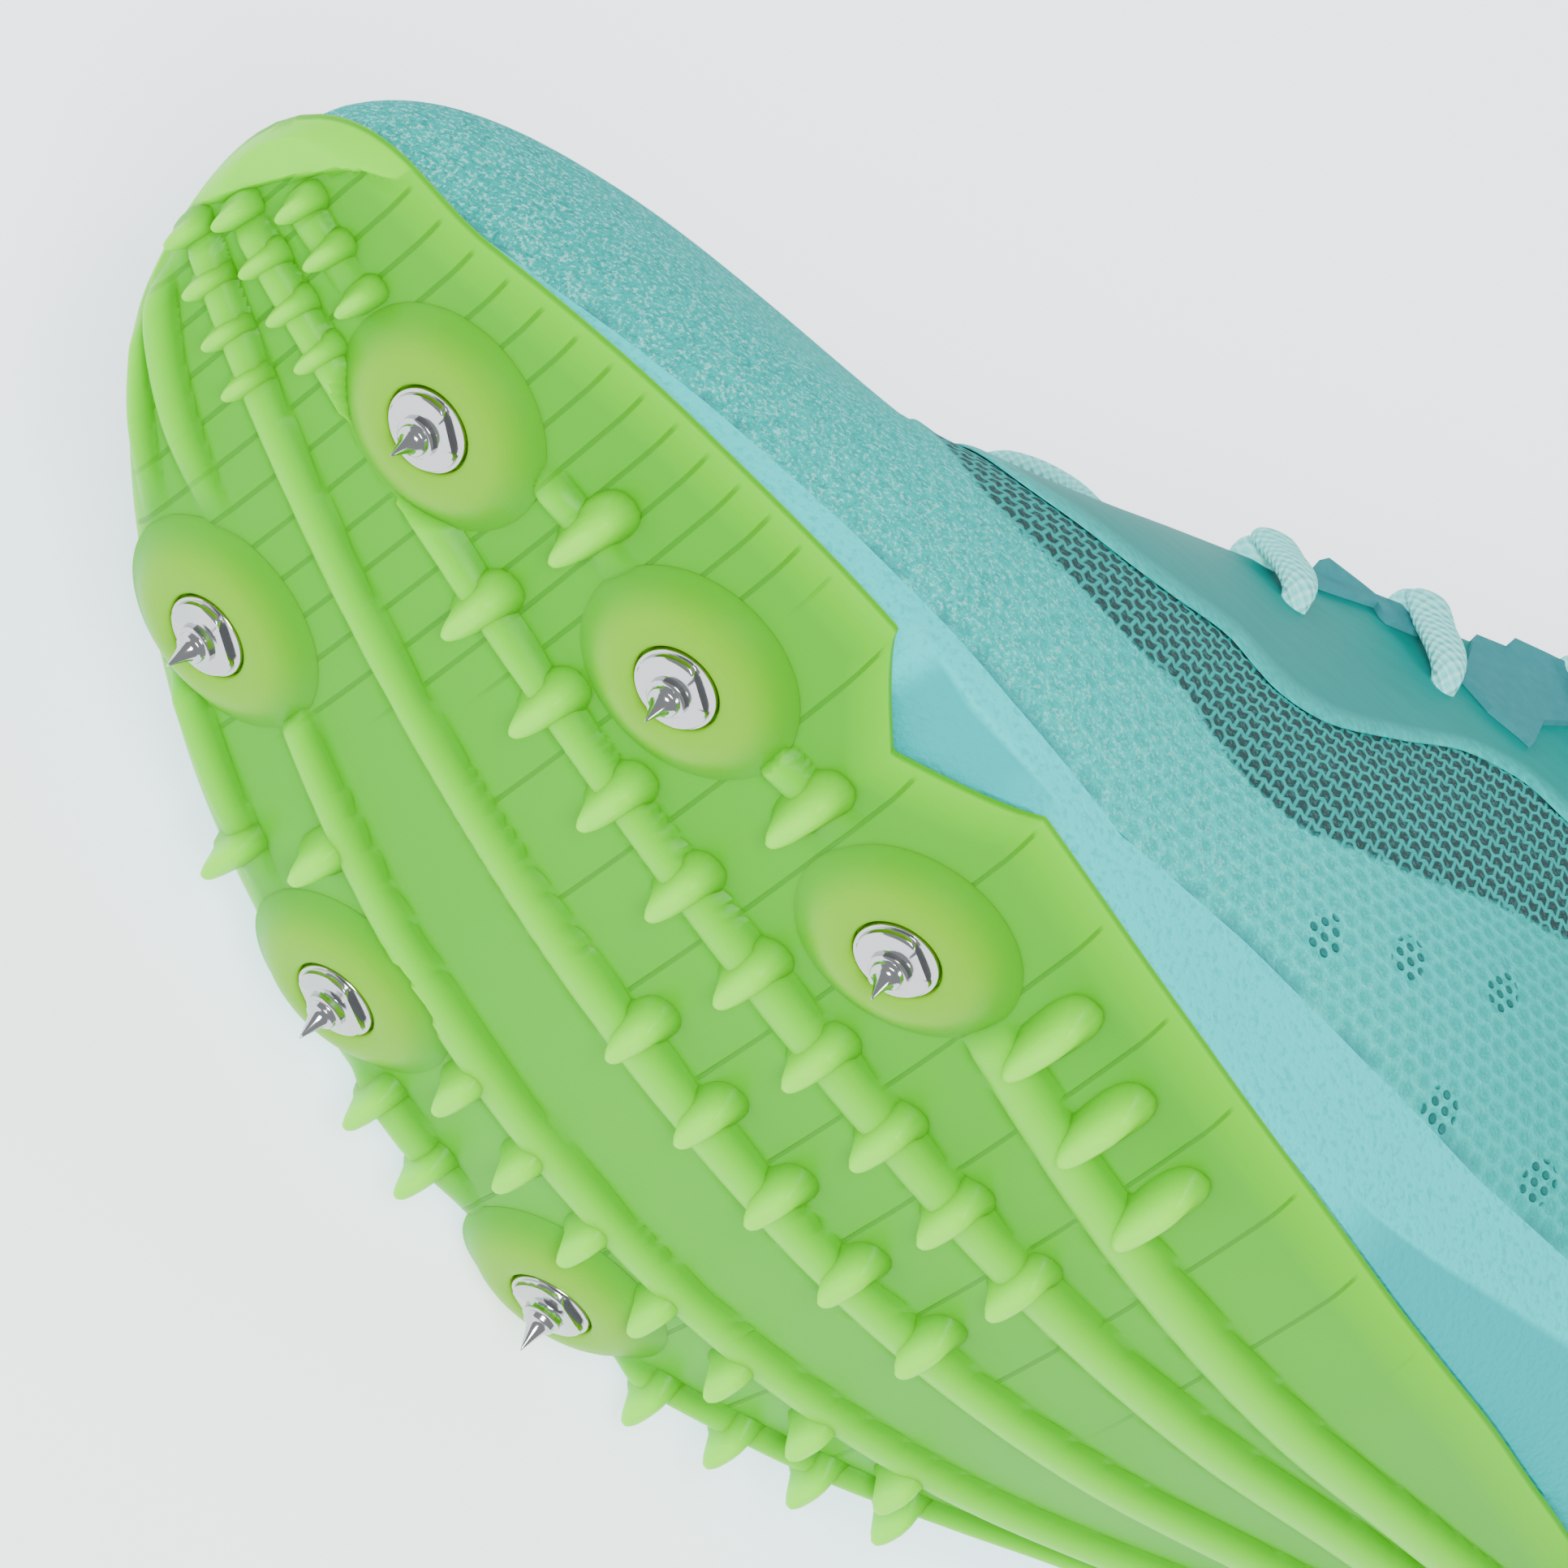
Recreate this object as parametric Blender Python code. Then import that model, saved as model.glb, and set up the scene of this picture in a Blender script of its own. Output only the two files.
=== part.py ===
"""Track spike shoe for the right foot, lying on its outer side.

Every piece is made in the shoe's own frame: X runs back from the toe, Y towards the inner side
of the foot (negative towards the outer side) and Z up from the ball of the sole.  An empty then
lays the whole shoe on its outer side, on the hull face that carries its weight.
"""
import math

import bmesh
import bpy
import numpy as np
from mathutils import Matrix, Vector

MM = 0.001

# Driving sizes, in millimetres
LENGTH = 285.0            # toe tip to heel
BALL_WIDTH = 90.0         # across the ball of the sole
INSTEP_HEIGHT = 100.0     # top eyelets above the ball of the sole
TOE_SPRING = 21.0         # rise of the plate at the toe tip
ARCH_RISE = 20.0          # rise of the plate under the waist
HEEL_RISE = 8.0           # rise of the plate under the heel
CROWN = 3.9               # rise of the plate from its middle to its side at the ball
PLATE = 2.2               # plate thickness
EDGE_LIFT = 1.4           # the plate's rim is rounded up by this much
EDGE_BAND = 4.0           # width of that rounded rim
BALL_FOAM = 6.0           # foam seen between plate and upper at the ball
HEEL_FOAM = 19.0          # the same at the heel
FOAM_SETBACK = 0.8        # the foam's side lies inside the plate's rim
TOE_SETBACK = 2.6         # and leaves room for the toe tab
UPPER_WALL = 1.8          # knitted shell with its lining
OVERLAY = 0.9             # eyestay film and its backing
TONGUE_THICK = 3.0
TONGUE_STEP = 2.6         # height of the tongue's raised steps
TONGUE_START = 5          # section of the upper where the tongue starts
INSOLE_THICK = 3.0
GAP = 0.3                 # between pieces that touch
NOTCH_DEPTH = 8.5         # notch in the plate's inner edge
NOTCH_ALONG = 61.0        # its place from the toe
NOTCH_HALF = 9.5          # half its length
TAB_RISE = 4.0            # toe tab above the plate's rim
TAB_THICK = 1.5
TAB_STEPS_IN = 3          # sections of the upper that the tab passes, inner side
TAB_STEPS_OUT = 2         # and outer side
BOSS_RADIUS = 9.7
BOSS_RISE = 2.2
SEAT_DEPTH = 0.9          # recess for the pin's flange
FLANGE_RADIUS = 3.75
FLANGE_THICK = 1.3
FLATS_HALF = 2.7          # half the distance across the wrench flats
SHOULDER_RADIUS = 1.75
SHOULDER_LENGTH = 1.5
NEEDLE_LENGTH = 2.6
RIB_WIDTH = 3.4
RIB_RISE = 1.1
RIB_SINK = 0.9            # ribs, lugs and bosses start this deep in the plate
LUG_SINK = 1.15
BOSS_SINK = 1.4
LUG_SLANT = math.radians(16.0)
HEEL_PAD_ALONG = 252.0     # its middle from the toe
HEEL_PAD_LENGTH = 42.0
HEEL_PAD_WIDTH = 34.0
HEEL_PAD_RISE = 1.6       # the pad stands out of the plate by this much
LACE_WIDTH = 5.0
LACE_THICK = 1.8
EYELET_INSET = 11.0       # eyelet centre from the throat's edge

BALL_HALF = BALL_WIDTH / 2.0
FOOT_STEPS = 26
WALL_STEPS = 8
EYESTAY_ROW = 5           # row of the wall where the eyestay starts

# Sole outline.  along: share of LENGTH from the toe; half and centre: share of BALL_HALF;
# tuck_in and tuck_out: how far the plate's edge lies inside the foam's, inner and outer side
OUTLINE = (
    # along, half, centre, tuck_in, tuck_out
    (0.000, 0.000, 0.155, 0.000, 0.000),
    (0.046, 0.471, 0.030, 0.000, 0.000),
    (0.109, 0.731, 0.033, 0.000, 0.000),
    (0.193, 0.933, 0.022, 0.000, 0.000),
    (0.295, 1.000, -0.015, 0.000, 0.000),
    (0.390, 0.988, -0.040, 0.015, 0.010),
    (0.450, 0.945, -0.047, 0.050, 0.150),
    (0.500, 0.903, -0.048, 0.105, 0.315),
    (0.547, 0.862, -0.047, 0.200, 0.420),
    (0.620, 0.800, -0.042, 0.330, 0.440),
    (0.700, 0.738, -0.027, 0.245, 0.310),
    (0.780, 0.705, 0.000, 0.080, 0.090),
    (0.870, 0.690, 0.000, 0.020, 0.020),
    (0.950, 0.552, 0.000, 0.020, 0.020),
    (1.000, 0.000, 0.000, 0.020, 0.020),
)

# Rise of the plate along its middle, and the foam over it.  toe, arch, heel: shares of
# TOE_SPRING, ARCH_RISE and HEEL_RISE; ball_foam, heel_foam: shares of BALL_FOAM and HEEL_FOAM;
# crease: height of the side's crease as a share of the foam
PROFILE = (
    # along, toe, arch, heel, ball_foam, heel_foam, crease
    (0.000, 1.000, 0.000, 0.00, 0.17, 0.00, 0.50),
    (0.056, 0.680, 0.000, 0.00, 0.30, 0.00, 0.50),
    (0.126, 0.371, 0.000, 0.00, 0.58, 0.00, 0.50),
    (0.196, 0.157, 0.000, 0.00, 0.75, 0.00, 0.55),
    (0.267, 0.033, 0.000, 0.00, 0.92, 0.00, 0.40),
    (0.340, 0.000, 0.000, 0.00, 1.00, 0.22, 0.12),
    (0.407, 0.000, 0.063, 0.00, 0.90, 0.34, 0.20),
    (0.477, 0.000, 0.270, 0.00, 0.70, 0.44, 0.50),
    (0.547, 0.000, 0.620, 0.00, 0.30, 0.55, 0.70),
    (0.600, 0.000, 0.890, 0.00, 0.10, 0.60, 0.72),
    (0.650, 0.000, 1.000, 0.00, 0.00, 0.62, 0.70),
    (0.720, 0.000, 0.850, 0.00, 0.00, 0.72, 0.60),
    (0.790, 0.000, 0.350, 0.50, 0.00, 0.90, 0.45),
    (0.850, 0.000, 0.000, 1.00, 0.00, 1.00, 0.40),
    (0.920, 0.000, 0.000, 1.00, 0.00, 1.00, 0.40),
    (1.000, 0.000, 0.000, 1.80, 0.00, 0.80, 0.40),
)

# Sections of the last, from the toe round to the heel, the same on both sides.
# turn: 0 at the toe, 1 at the heel; top: where the wall ends, share of LENGTH; half: its distance
# from the middle, share of BALL_HALF; rise: its height, share of INSTEP_HEIGHT.  Each wall is a
# cubic: stand is the upright handle at the sole and drop the one at the top, shares of the
# wall's height; reach is the top handle towards the sole's edge, a share of that distance;
# lean and swell push the two handles outwards, shares of BALL_HALF
WALLS = (
    # turn, top, half, rise, stand, lean, reach, drop, swell
    (0.00, 0.246, 0.00, 0.539, 0.53, 0.00, 0.51, 0.34, 0.00),
    (0.10, 0.248, 0.10, 0.541, 0.53, 0.02, 0.51, 0.34, 0.00),
    (0.20, 0.260, 0.20, 0.562, 0.41, 0.02, 0.31, 0.42, 0.01),
    (0.30, 0.309, 0.26, 0.634, 0.35, 0.04, 0.38, 0.26, 0.02),
    (0.40, 0.400, 0.31, 0.778, 0.34, 0.03, 0.34, 0.32, 0.01),
    (0.50, 0.516, 0.40, 0.935, 0.36, 0.04, 0.35, 0.31, 0.01),
    (0.55, 0.579, 0.49, 0.980, 0.38, 0.06, 0.38, 0.30, 0.03),
    (0.60, 0.650, 0.61, 0.900, 0.38, 0.07, 0.30, 0.30, 0.05),
    (0.67, 0.744, 0.68, 0.800, 0.36, 0.07, 0.10, 0.32, 0.05),
    (0.75, 0.842, 0.64, 0.800, 0.34, 0.07, 0.00, 0.34, 0.05),
    (0.84, 0.912, 0.47, 0.870, 0.32, 0.07, 0.00, 0.36, 0.03),
    (0.92, 0.954, 0.23, 0.925, 0.30, 0.07, 0.00, 0.38, 0.02),
    (1.00, 0.968, 0.00, 0.940, 0.30, 0.07, 0.00, 0.38, 0.01),
)
THROAT_CENTRE = 0.08      # the throat's front end lies this far to the inner side
THROAT_TURN = 0.57        # the lacing ends here, as a turn
TONGUE_REACH = 20.0       # tongue beyond the top eyelets

# Spike bosses.  along: share of LENGTH; across: share of BALL_HALF, positive on the inner side
BOSSES = (
    # name, along, across
    ("front_inner", 0.083, 0.267),
    ("mid_inner", 0.171, 0.511),
    ("rear_inner", 0.268, 0.602),
    ("front_outer", 0.126, -0.516),
    ("mid_outer", 0.247, -0.776),
    ("rear_outer", 0.371, -0.876),
)

# Ribs of the plate.  start, end: shares of LENGTH; the three places across: shares of BALL_HALF
RIBS = {
    # name: (start, end, across_start, across_middle, across_end)
    "inner_toe": (0.018, 0.054, 0.153, 0.182, 0.224),
    "inner_front": (0.105, 0.147, 0.427, 0.467, 0.502),
    "inner_ball": (0.196, 0.239, 0.573, 0.613, 0.638),
    "inner_waist": (0.302, 0.610, 0.631, 0.470, 0.265),
    "second": (0.018, 0.620, 0.009, 0.269, 0.130),
    "third": (0.018, 0.630, -0.116, -0.135, 0.005),
    "fourth": (0.154, 0.620, -0.451, -0.550, -0.120),
    "outer_toe": (0.028, 0.105, -0.271, -0.369, -0.382),
    "outer_front": (0.039, 0.098, -0.389, -0.500, -0.560),
    "outer_ball": (0.140, 0.218, -0.711, -0.778, -0.844),
    "outer_rear": (0.281, 0.347, -0.929, -0.944, -0.978),
    "outer_waist": (0.407, 0.600, -0.950, -0.590, -0.245),
}

# Fin lugs.  first, pitch: millimetres along the shoe as shares of LENGTH; shift: share of
# BALL_HALF that the lug's middle lies beside its rib; long, thick, high: millimetres
LUGS = (
    # rib, first, count, pitch, shift, long, thick, high
    ("inner_toe", 0.0190, 3, 0.0137, 0.01, 5.2, 1.9, 2.2),
    ("second", 0.0165, 4, 0.0137, 0.00, 5.2, 1.9, 2.2),
    ("third", 0.0180, 4, 0.0140, -0.01, 5.2, 1.9, 2.2),
    ("inner_front", 0.1240, 1, 0.0320, 0.02, 9.5, 3.0, 3.2),
    ("inner_ball", 0.2190, 1, 0.0320, -0.02, 9.5, 3.0, 3.2),
    ("inner_waist", 0.3100, 3, 0.0330, 0.12, 11.5, 3.0, 3.2),
    ("second", 0.1360, 9, 0.0319, 0.00, 8.5, 3.0, 3.2),
    ("third", 0.2740, 5, 0.0333, 0.06, 8.0, 3.0, 3.2),
    ("fourth", 0.2010, 1, 0.0310, -0.07, 7.0, 3.0, 3.2),
    ("fourth", 0.2850, 7, 0.0309, -0.06, 7.0, 3.0, 3.2),
    ("outer_ball", 0.1960, 1, 0.0310, -0.01, 7.0, 2.8, 3.2),
    ("outer_rear", 0.2885, 2, 0.0280, 0.01, 7.0, 2.8, 3.2),
    ("outer_waist", 0.4190, 4, 0.0230, 0.00, 7.0, 2.8, 3.2),
)

# Eyelet pairs along the throat, as shares of LENGTH
EYELETS = (0.268, 0.350, 0.403, 0.462, 0.520)

# Colours are linear; rough and metal are the surface's own
MATERIALS = {
    # name: (red, green, blue, rough, metal)
    "plate_green": (0.31, 0.68, 0.13, 0.35, 0.0),
    "pin_steel": (0.78, 0.79, 0.80, 0.15, 1.0),
    "foam_teal": (0.22, 0.66, 0.65, 0.65, 0.0),
    "upper_turquoise": (0.06, 0.62, 0.54, 0.80, 0.0),
    "eyestay_turquoise": (0.01, 0.58, 0.49, 0.55, 0.0),
    "tongue_slate": (0.10, 0.34, 0.39, 0.75, 0.0),
    "insole_grey": (0.25, 0.30, 0.31, 0.85, 0.0),
    "lace_mint": (0.38, 0.90, 0.78, 0.85, 0.0),
}


def column(table, index):
    """Two arrays: the table's first column and another one."""
    return np.array([row[0] for row in table]), np.array([row[index] for row in table])


def smooth(table, index, at):
    """Monotone cubic through one column of a table."""
    xs, ys = column(table, index)
    at = min(max(at, xs[0]), xs[-1])
    steps = np.diff(xs)
    slopes = np.diff(ys) / steps
    tangents = np.concatenate(([slopes[0]], (slopes[:-1] + slopes[1:]) / 2.0, [slopes[-1]]))
    for i, slope in enumerate(slopes):
        if slope == 0.0:
            tangents[i] = tangents[i + 1] = 0.0
    for i in range(1, len(slopes)):
        if slopes[i - 1] * slopes[i] <= 0.0:
            tangents[i] = 0.0
        else:
            limit = 3.0 * min(abs(slopes[i - 1]), abs(slopes[i]))
            tangents[i] = math.copysign(min(abs(tangents[i]), limit), slopes[i])
    i = min(max(int(np.searchsorted(xs, at)) - 1, 0), len(slopes) - 1)
    t = (at - xs[i]) / steps[i]
    rise = ys[i + 1] - ys[i]
    low, high = tangents[i] * steps[i], tangents[i + 1] * steps[i]
    return ys[i] + t * (low + t * (3.0 * rise - 2.0 * low - high + t * (low + high - 2.0 * rise)))


def half_width(along):
    """Half the sole's width at a share of its length, round at both ends."""
    squares = tuple((row[0], row[1] ** 2) for row in OUTLINE)
    return BALL_HALF * math.sqrt(max(smooth(squares, 1, along), 0.0))


def centre(along):
    return BALL_HALF * smooth(OUTLINE, 2, along)


def foam_edges(along):
    """Outer and inner edge of the foam, which is also the upper's feather line."""
    inset_share = (along * LENGTH - TOE_SETBACK) / (LENGTH - TOE_SETBACK - FOAM_SETBACK)
    half = max(half_width(min(max(inset_share, 0.0), 1.0)) - FOAM_SETBACK, 0.0)
    return centre(along) - half, centre(along) + half


def plate_edges(along):
    """Outer and inner edge of the plate, with the notch and the swell round each boss."""
    half = half_width(along)
    outer = centre(along) - half + BALL_HALF * smooth(OUTLINE, 4, along)
    inner = centre(along) + half - BALL_HALF * smooth(OUTLINE, 3, along)
    from_notch = abs(along * LENGTH - NOTCH_ALONG) / NOTCH_HALF
    if from_notch < 1.0:
        inner -= NOTCH_DEPTH * (1.0 - from_notch) ** 0.8
    for _name, boss_along, boss_across in BOSSES:
        away = along * LENGTH - boss_along * LENGTH
        if boss_across < 0.0 and abs(away) < BOSS_RADIUS:
            reach = math.sqrt(BOSS_RADIUS ** 2 - away ** 2)
            outer = min(outer, boss_across * BALL_HALF - reach)
    return outer, inner


def ground(along, across):
    """Height of the plate's underside."""
    rise = TOE_SPRING * smooth(PROFILE, 1, along) + ARCH_RISE * smooth(PROFILE, 2, along)
    rise += HEEL_RISE * smooth(PROFILE, 3, along)
    return rise + CROWN * (across / BALL_HALF) ** 2


def foam_top(along):
    """Height of the foam's top edge as the profile gives it."""
    foam = BALL_FOAM * smooth(PROFILE, 4, along) + HEEL_FOAM * smooth(PROFILE, 5, along)
    side = max(abs(edge) for edge in foam_edges(along))
    return ground(along, side) + PLATE + GAP + foam


def foot_share(turn):
    """Share of the length at a turn round the outline, even round the toe and heel."""
    return (1.0 - math.cos(math.pi * turn)) / 2.0


def wall_shares():
    """Shares of the length where the upper's sections stand."""
    low, high = TOE_SETBACK / LENGTH, 1.0 - FOAM_SETBACK / LENGTH
    return [low + (high - low) * foot_share(step / FOOT_STEPS) for step in range(FOOT_STEPS + 1)]


FEATHER_SHARES = wall_shares()
FEATHER_HEIGHTS = [foam_top(share) for share in FEATHER_SHARES]


def feather(along):
    """Height of the feather line, straight from each of the upper's sections to the next."""
    return float(np.interp(along, FEATHER_SHARES, FEATHER_HEIGHTS))


def wall_foot(turn, side):
    """Point of the feather line at a turn, side 1 inner and -1 outer."""
    low, high = TOE_SETBACK / LENGTH, 1.0 - FOAM_SETBACK / LENGTH
    along = low + (high - low) * foot_share(turn)
    edges = foam_edges(along)
    across = edges[1] if side > 0 else edges[0]
    if turn <= 0.0 or turn >= 1.0:
        across = centre(along)
    return np.array((along * LENGTH, across, feather(along) + GAP))


def wall_point(lap, up):
    """Outer face of the upper.  lap runs once round: toe 0, heel 0.5; up: feather 0, top 1."""
    lap = lap % 1.0
    side = 1.0 if lap <= 0.5 else -1.0
    turn = 2.0 * min(lap, 1.0 - lap)
    foot = wall_foot(turn, side)
    before, after = wall_foot(max(turn - 0.02, 0.0), side), wall_foot(min(turn + 0.02, 1.0), side)
    run = (after - before)[:2]
    if turn <= 0.0 or turn >= 1.0:
        out = np.array((-1.0 if turn <= 0.0 else 1.0, 0.0, 0.0))
    elif side > 0:
        out = np.array((-run[1], run[0], 0.0))
    else:
        out = np.array((run[1], -run[0], 0.0))
    out = out / max(np.linalg.norm(out), 1e-9)
    shares = [smooth(WALLS, index, turn) for index in range(1, 9)]
    top_along, half, rise, stand, lean, reach, drop, swell = shares
    middle = THROAT_CENTRE * max(1.0 - turn / THROAT_TURN, 0.0)
    top = np.array((top_along * LENGTH, (middle + side * half) * BALL_HALF, rise * INSTEP_HEIGHT))
    height = top[2] - foot[2]
    up_axis = np.array((0.0, 0.0, 1.0))
    handle_low = foot + up_axis * stand * height + out * lean * BALL_HALF
    to_foot = np.array((foot[0] - top[0], foot[1] - top[1], 0.0))
    handle_high = top + to_foot * reach - up_axis * drop * height + out * swell * BALL_HALF
    down = 1.0 - up
    return (down ** 3 * foot + 3.0 * down ** 2 * up * handle_low
            + 3.0 * down * up ** 2 * handle_high + up ** 3 * top)


def wall_offset(lap, up, distance):
    """A point of the wall moved outwards along its normal."""
    step = 0.004
    round_it = wall_point(lap + step, up) - wall_point(lap - step, up)
    low, high = max(up - step, 0.0), min(up + step, 1.0)
    normal = np.cross(round_it, wall_point(lap, high) - wall_point(lap, low))
    normal = normal / np.linalg.norm(normal)
    centre_line = np.array((0.55 * LENGTH, 0.0, 0.4 * INSTEP_HEIGHT))
    point = wall_point(lap, up)
    if np.dot(normal, point - centre_line) < 0.0:
        normal = -normal
    return point + normal * distance


def to_mesh_points(points):
    """Millimetres with X back from the toe, to metres with X forward from the heel."""
    return [Vector((-p[0] * MM, p[1] * MM, p[2] * MM)) for p in points]


def make_object(name, bm, material):
    """One named object with its own material, faces outwards."""
    bmesh.ops.recalc_face_normals(bm, faces=bm.faces)
    if bm.calc_volume(signed=True) < 0.0:
        bmesh.ops.reverse_faces(bm, faces=bm.faces)
    mesh = bpy.data.meshes.new(name)
    bm.to_mesh(mesh)
    bm.free()
    piece = bpy.data.objects.new(name, mesh)
    bpy.context.scene.collection.objects.link(piece)
    if material is not None:
        mesh.materials.append(surface(material))
    mesh.shade_smooth()
    mesh.set_sharp_from_angle(angle=math.radians(35.0))
    return piece


def surface(name):
    """Material from the table, made once."""
    found = bpy.data.materials.get(name)
    if found is not None:
        return found
    red, green, blue, rough, metal = MATERIALS[name]
    material = bpy.data.materials.new(name)
    material.use_nodes = True
    shader = material.node_tree.nodes["Principled BSDF"]
    shader.inputs["Base Color"].default_value = (red, green, blue, 1.0)
    shader.inputs["Roughness"].default_value = rough
    shader.inputs["Metallic"].default_value = metal
    material.diffuse_color = (red, green, blue, 1.0)
    return material


def loft(rings, closed=False):
    """Closed mesh through rings of equally many points; closed joins the last to the first.

    Each four-sided patch is split along its shorter diagonal, so that two sheets laid on the
    same grid keep their gap.
    """
    bm = bmesh.new()
    rows = [[bm.verts.new(v) for v in to_mesh_points(ring)] for ring in rings]
    count = len(rows[0])
    pairs = list(zip(rows, rows[1:]))
    if closed:
        pairs.append((rows[-1], rows[0]))
    for first, second in pairs:
        for i in range(count):
            j = (i + 1) % count
            a, b, c, d = first[i], first[j], second[j], second[i]
            if (a.co - c.co).length <= (b.co - d.co).length:
                bm.faces.new((a, b, c))
                bm.faces.new((a, c, d))
            else:
                bm.faces.new((a, b, d))
                bm.faces.new((b, c, d))
    if not closed:
        bm.faces.new(rows[0][::-1])
        bm.faces.new(rows[-1])
    return bm


def stations():
    """Shares of the length, close together at the ends and round the notch."""
    shares = wall_shares()[1:-1] + [0.25 * TOE_SETBACK / LENGTH, TOE_SETBACK / LENGTH]
    shares.append(1.0 - 0.5 * FOAM_SETBACK / LENGTH)
    for offset in (-1.0, -0.55, 0.0, 0.55, 1.0):
        shares.append((NOTCH_ALONG + offset * NOTCH_HALF) / LENGTH)
    shares = sorted(shares)
    kept = shares[:1]
    for share in shares[1:]:
        if share - kept[-1] > 0.0016:
            kept.append(share)
    return kept


def plate_section(along):
    """Ring of the bare plate: underside from outer to inner edge, then the top back."""
    outer, inner = plate_edges(along)
    width = inner - outer
    band = min(EDGE_BAND, width * 0.2)
    unders = [0.0, band * 0.35, band] + [band + (width - 2 * band) * i / 5.0 for i in range(1, 5)]
    unders += [width - band, width - band * 0.35, width]
    ring = []
    for distance in unders:
        across = outer + distance
        from_edge = min(distance, width - distance)
        lift = EDGE_LIFT * max(1.0 - from_edge / band, 0.0) ** 2
        ring.append((along * LENGTH, across, ground(along, across) + lift))
    for i in range(5, -1, -1):
        across = outer + width * i / 5.0
        ring.append((along * LENGTH, across, ground(along, across) + PLATE))
    return ring


def rib_across(name, along):
    """Place of a rib's middle, a parabola through its start, middle and end."""
    start, end, first, middle, last = RIBS[name]
    t = (along - start) / (end - start)
    return BALL_HALF * (first * (1 - t) * (1 - 2 * t) + middle * 4 * t * (1 - t) + last * t * (2 * t - 1))


def rib(name):
    """One rib: a low bar with slanting sides that follows the plate."""
    start, end = RIBS[name][0], RIBS[name][1]
    pieces = max(2, round((end - start) * LENGTH / 16.0))
    rings = []
    for i in range(pieces + 1):
        along = start + (end - start) * i / pieces
        across = rib_across(name, along)
        taper = 0.6 if i in (0, pieces) else 1.0
        half = RIB_WIDTH / 2.0 * taper
        base = ground(along, across)
        ring = []
        for side, depth in ((-1.0, RIB_SINK), (-0.72, -RIB_RISE * taper),
                            (0.72, -RIB_RISE * taper), (1.0, RIB_SINK)):
            ring.append((along * LENGTH, across + side * half, base + depth))
        rings.append(ring)
    return loft(rings)


def lug(along, across, long, thick, high):
    """One fin lug across the shoe, its ends sloping to a shorter crest."""
    direction = np.array((-math.sin(LUG_SLANT), math.cos(LUG_SLANT), 0.0))
    beside = np.array((math.cos(LUG_SLANT), math.sin(LUG_SLANT), 0.0))
    layers = []
    for depth, reach, width in ((LUG_SINK, 0.5, 0.5), (-high, 0.34, 0.14)):
        layer = []
        for end, flank in ((-1, -1), (1, -1), (1, 1), (-1, 1)):
            spot = np.array((along * LENGTH, across, 0.0))
            spot = spot + direction * end * long * reach + beside * flank * thick * width
            spot[2] = ground(spot[0] / LENGTH, min(max(spot[1], -BALL_HALF), BALL_HALF)) + depth
            layer.append(spot)
        layers.append(layer)
    return loft(layers)


def boss_frame(along, across):
    """Frame on the plate at a boss: Z points out of the sole, along the plate's normal."""
    step = 2.0
    share = step / LENGTH
    point = np.array((along * LENGTH, across, ground(along, across)))
    ahead = np.array(((along - share) * LENGTH, across, ground(along - share, across)))
    aside = np.array((along * LENGTH, across + step, ground(along, across + step)))
    origin, front, left = to_mesh_points((point, ahead, aside))
    x_axis = (front - origin).normalized()
    out = (left - origin).cross(x_axis).normalized()
    y_axis = out.cross(x_axis)
    turn = Matrix((x_axis, y_axis, out)).transposed().to_4x4()
    return Matrix.Translation(origin) @ turn


def turned(profile, sides):
    """Solid of revolution about Z from rows of radius and height, in millimetres."""
    bm = bmesh.new()
    rings = []
    for radius, height in profile:
        ring = [bm.verts.new((radius * MM * math.cos(2 * math.pi * i / sides),
                              radius * MM * math.sin(2 * math.pi * i / sides), height * MM))
                for i in range(sides)]
        rings.append(ring)
    for first, second in zip(rings, rings[1:]):
        for i in range(sides):
            j = (i + 1) % sides
            bm.faces.new((first[i], first[j], second[j], second[i]))
    bm.faces.new(rings[0][::-1])
    bm.faces.new(rings[-1])
    return bm


def boss(along, across):
    """Domed boss with the round seat of a pin's flange sunk in its top."""
    seat = FLANGE_RADIUS + GAP
    profile = [(BOSS_RADIUS, -BOSS_SINK), (BOSS_RADIUS, 0.15), (BOSS_RADIUS * 0.82, BOSS_RISE * 0.55),
               (seat + 0.9, BOSS_RISE), (seat + 0.1, BOSS_RISE), (seat, BOSS_RISE - SEAT_DEPTH)]
    bm = turned(profile, 16)
    bmesh.ops.transform(bm, matrix=boss_frame(along, across), verts=bm.verts)
    return bm


def pin(name, along, across):
    """Steel pin: flange, wrench flats, stepped shoulder and needle."""
    base = BOSS_RISE - SEAT_DEPTH + GAP
    top = base + FLANGE_THICK
    profile = [(FLANGE_RADIUS, base), (FLANGE_RADIUS, base + 0.45 * FLANGE_THICK),
               (FLANGE_RADIUS * 0.9, top - 0.15), (FLANGE_RADIUS * 0.82, top),
               (SHOULDER_RADIUS, top + 0.25), (SHOULDER_RADIUS, top + SHOULDER_LENGTH),
               (SHOULDER_RADIUS * 0.55, top + SHOULDER_LENGTH + 0.35),
               (0.08, top + SHOULDER_LENGTH + NEEDLE_LENGTH)]
    bm = turned(profile, 12)
    for vert in bm.verts:
        if (base + 0.5 * FLANGE_THICK) * MM < vert.co.z < (top + 0.1) * MM:
            vert.co.y = min(max(vert.co.y, -FLATS_HALF * MM), FLATS_HALF * MM)
    bmesh.ops.transform(bm, matrix=boss_frame(along, across), verts=bm.verts)
    return make_object("spike_" + name, bm, "pin_steel")


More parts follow.
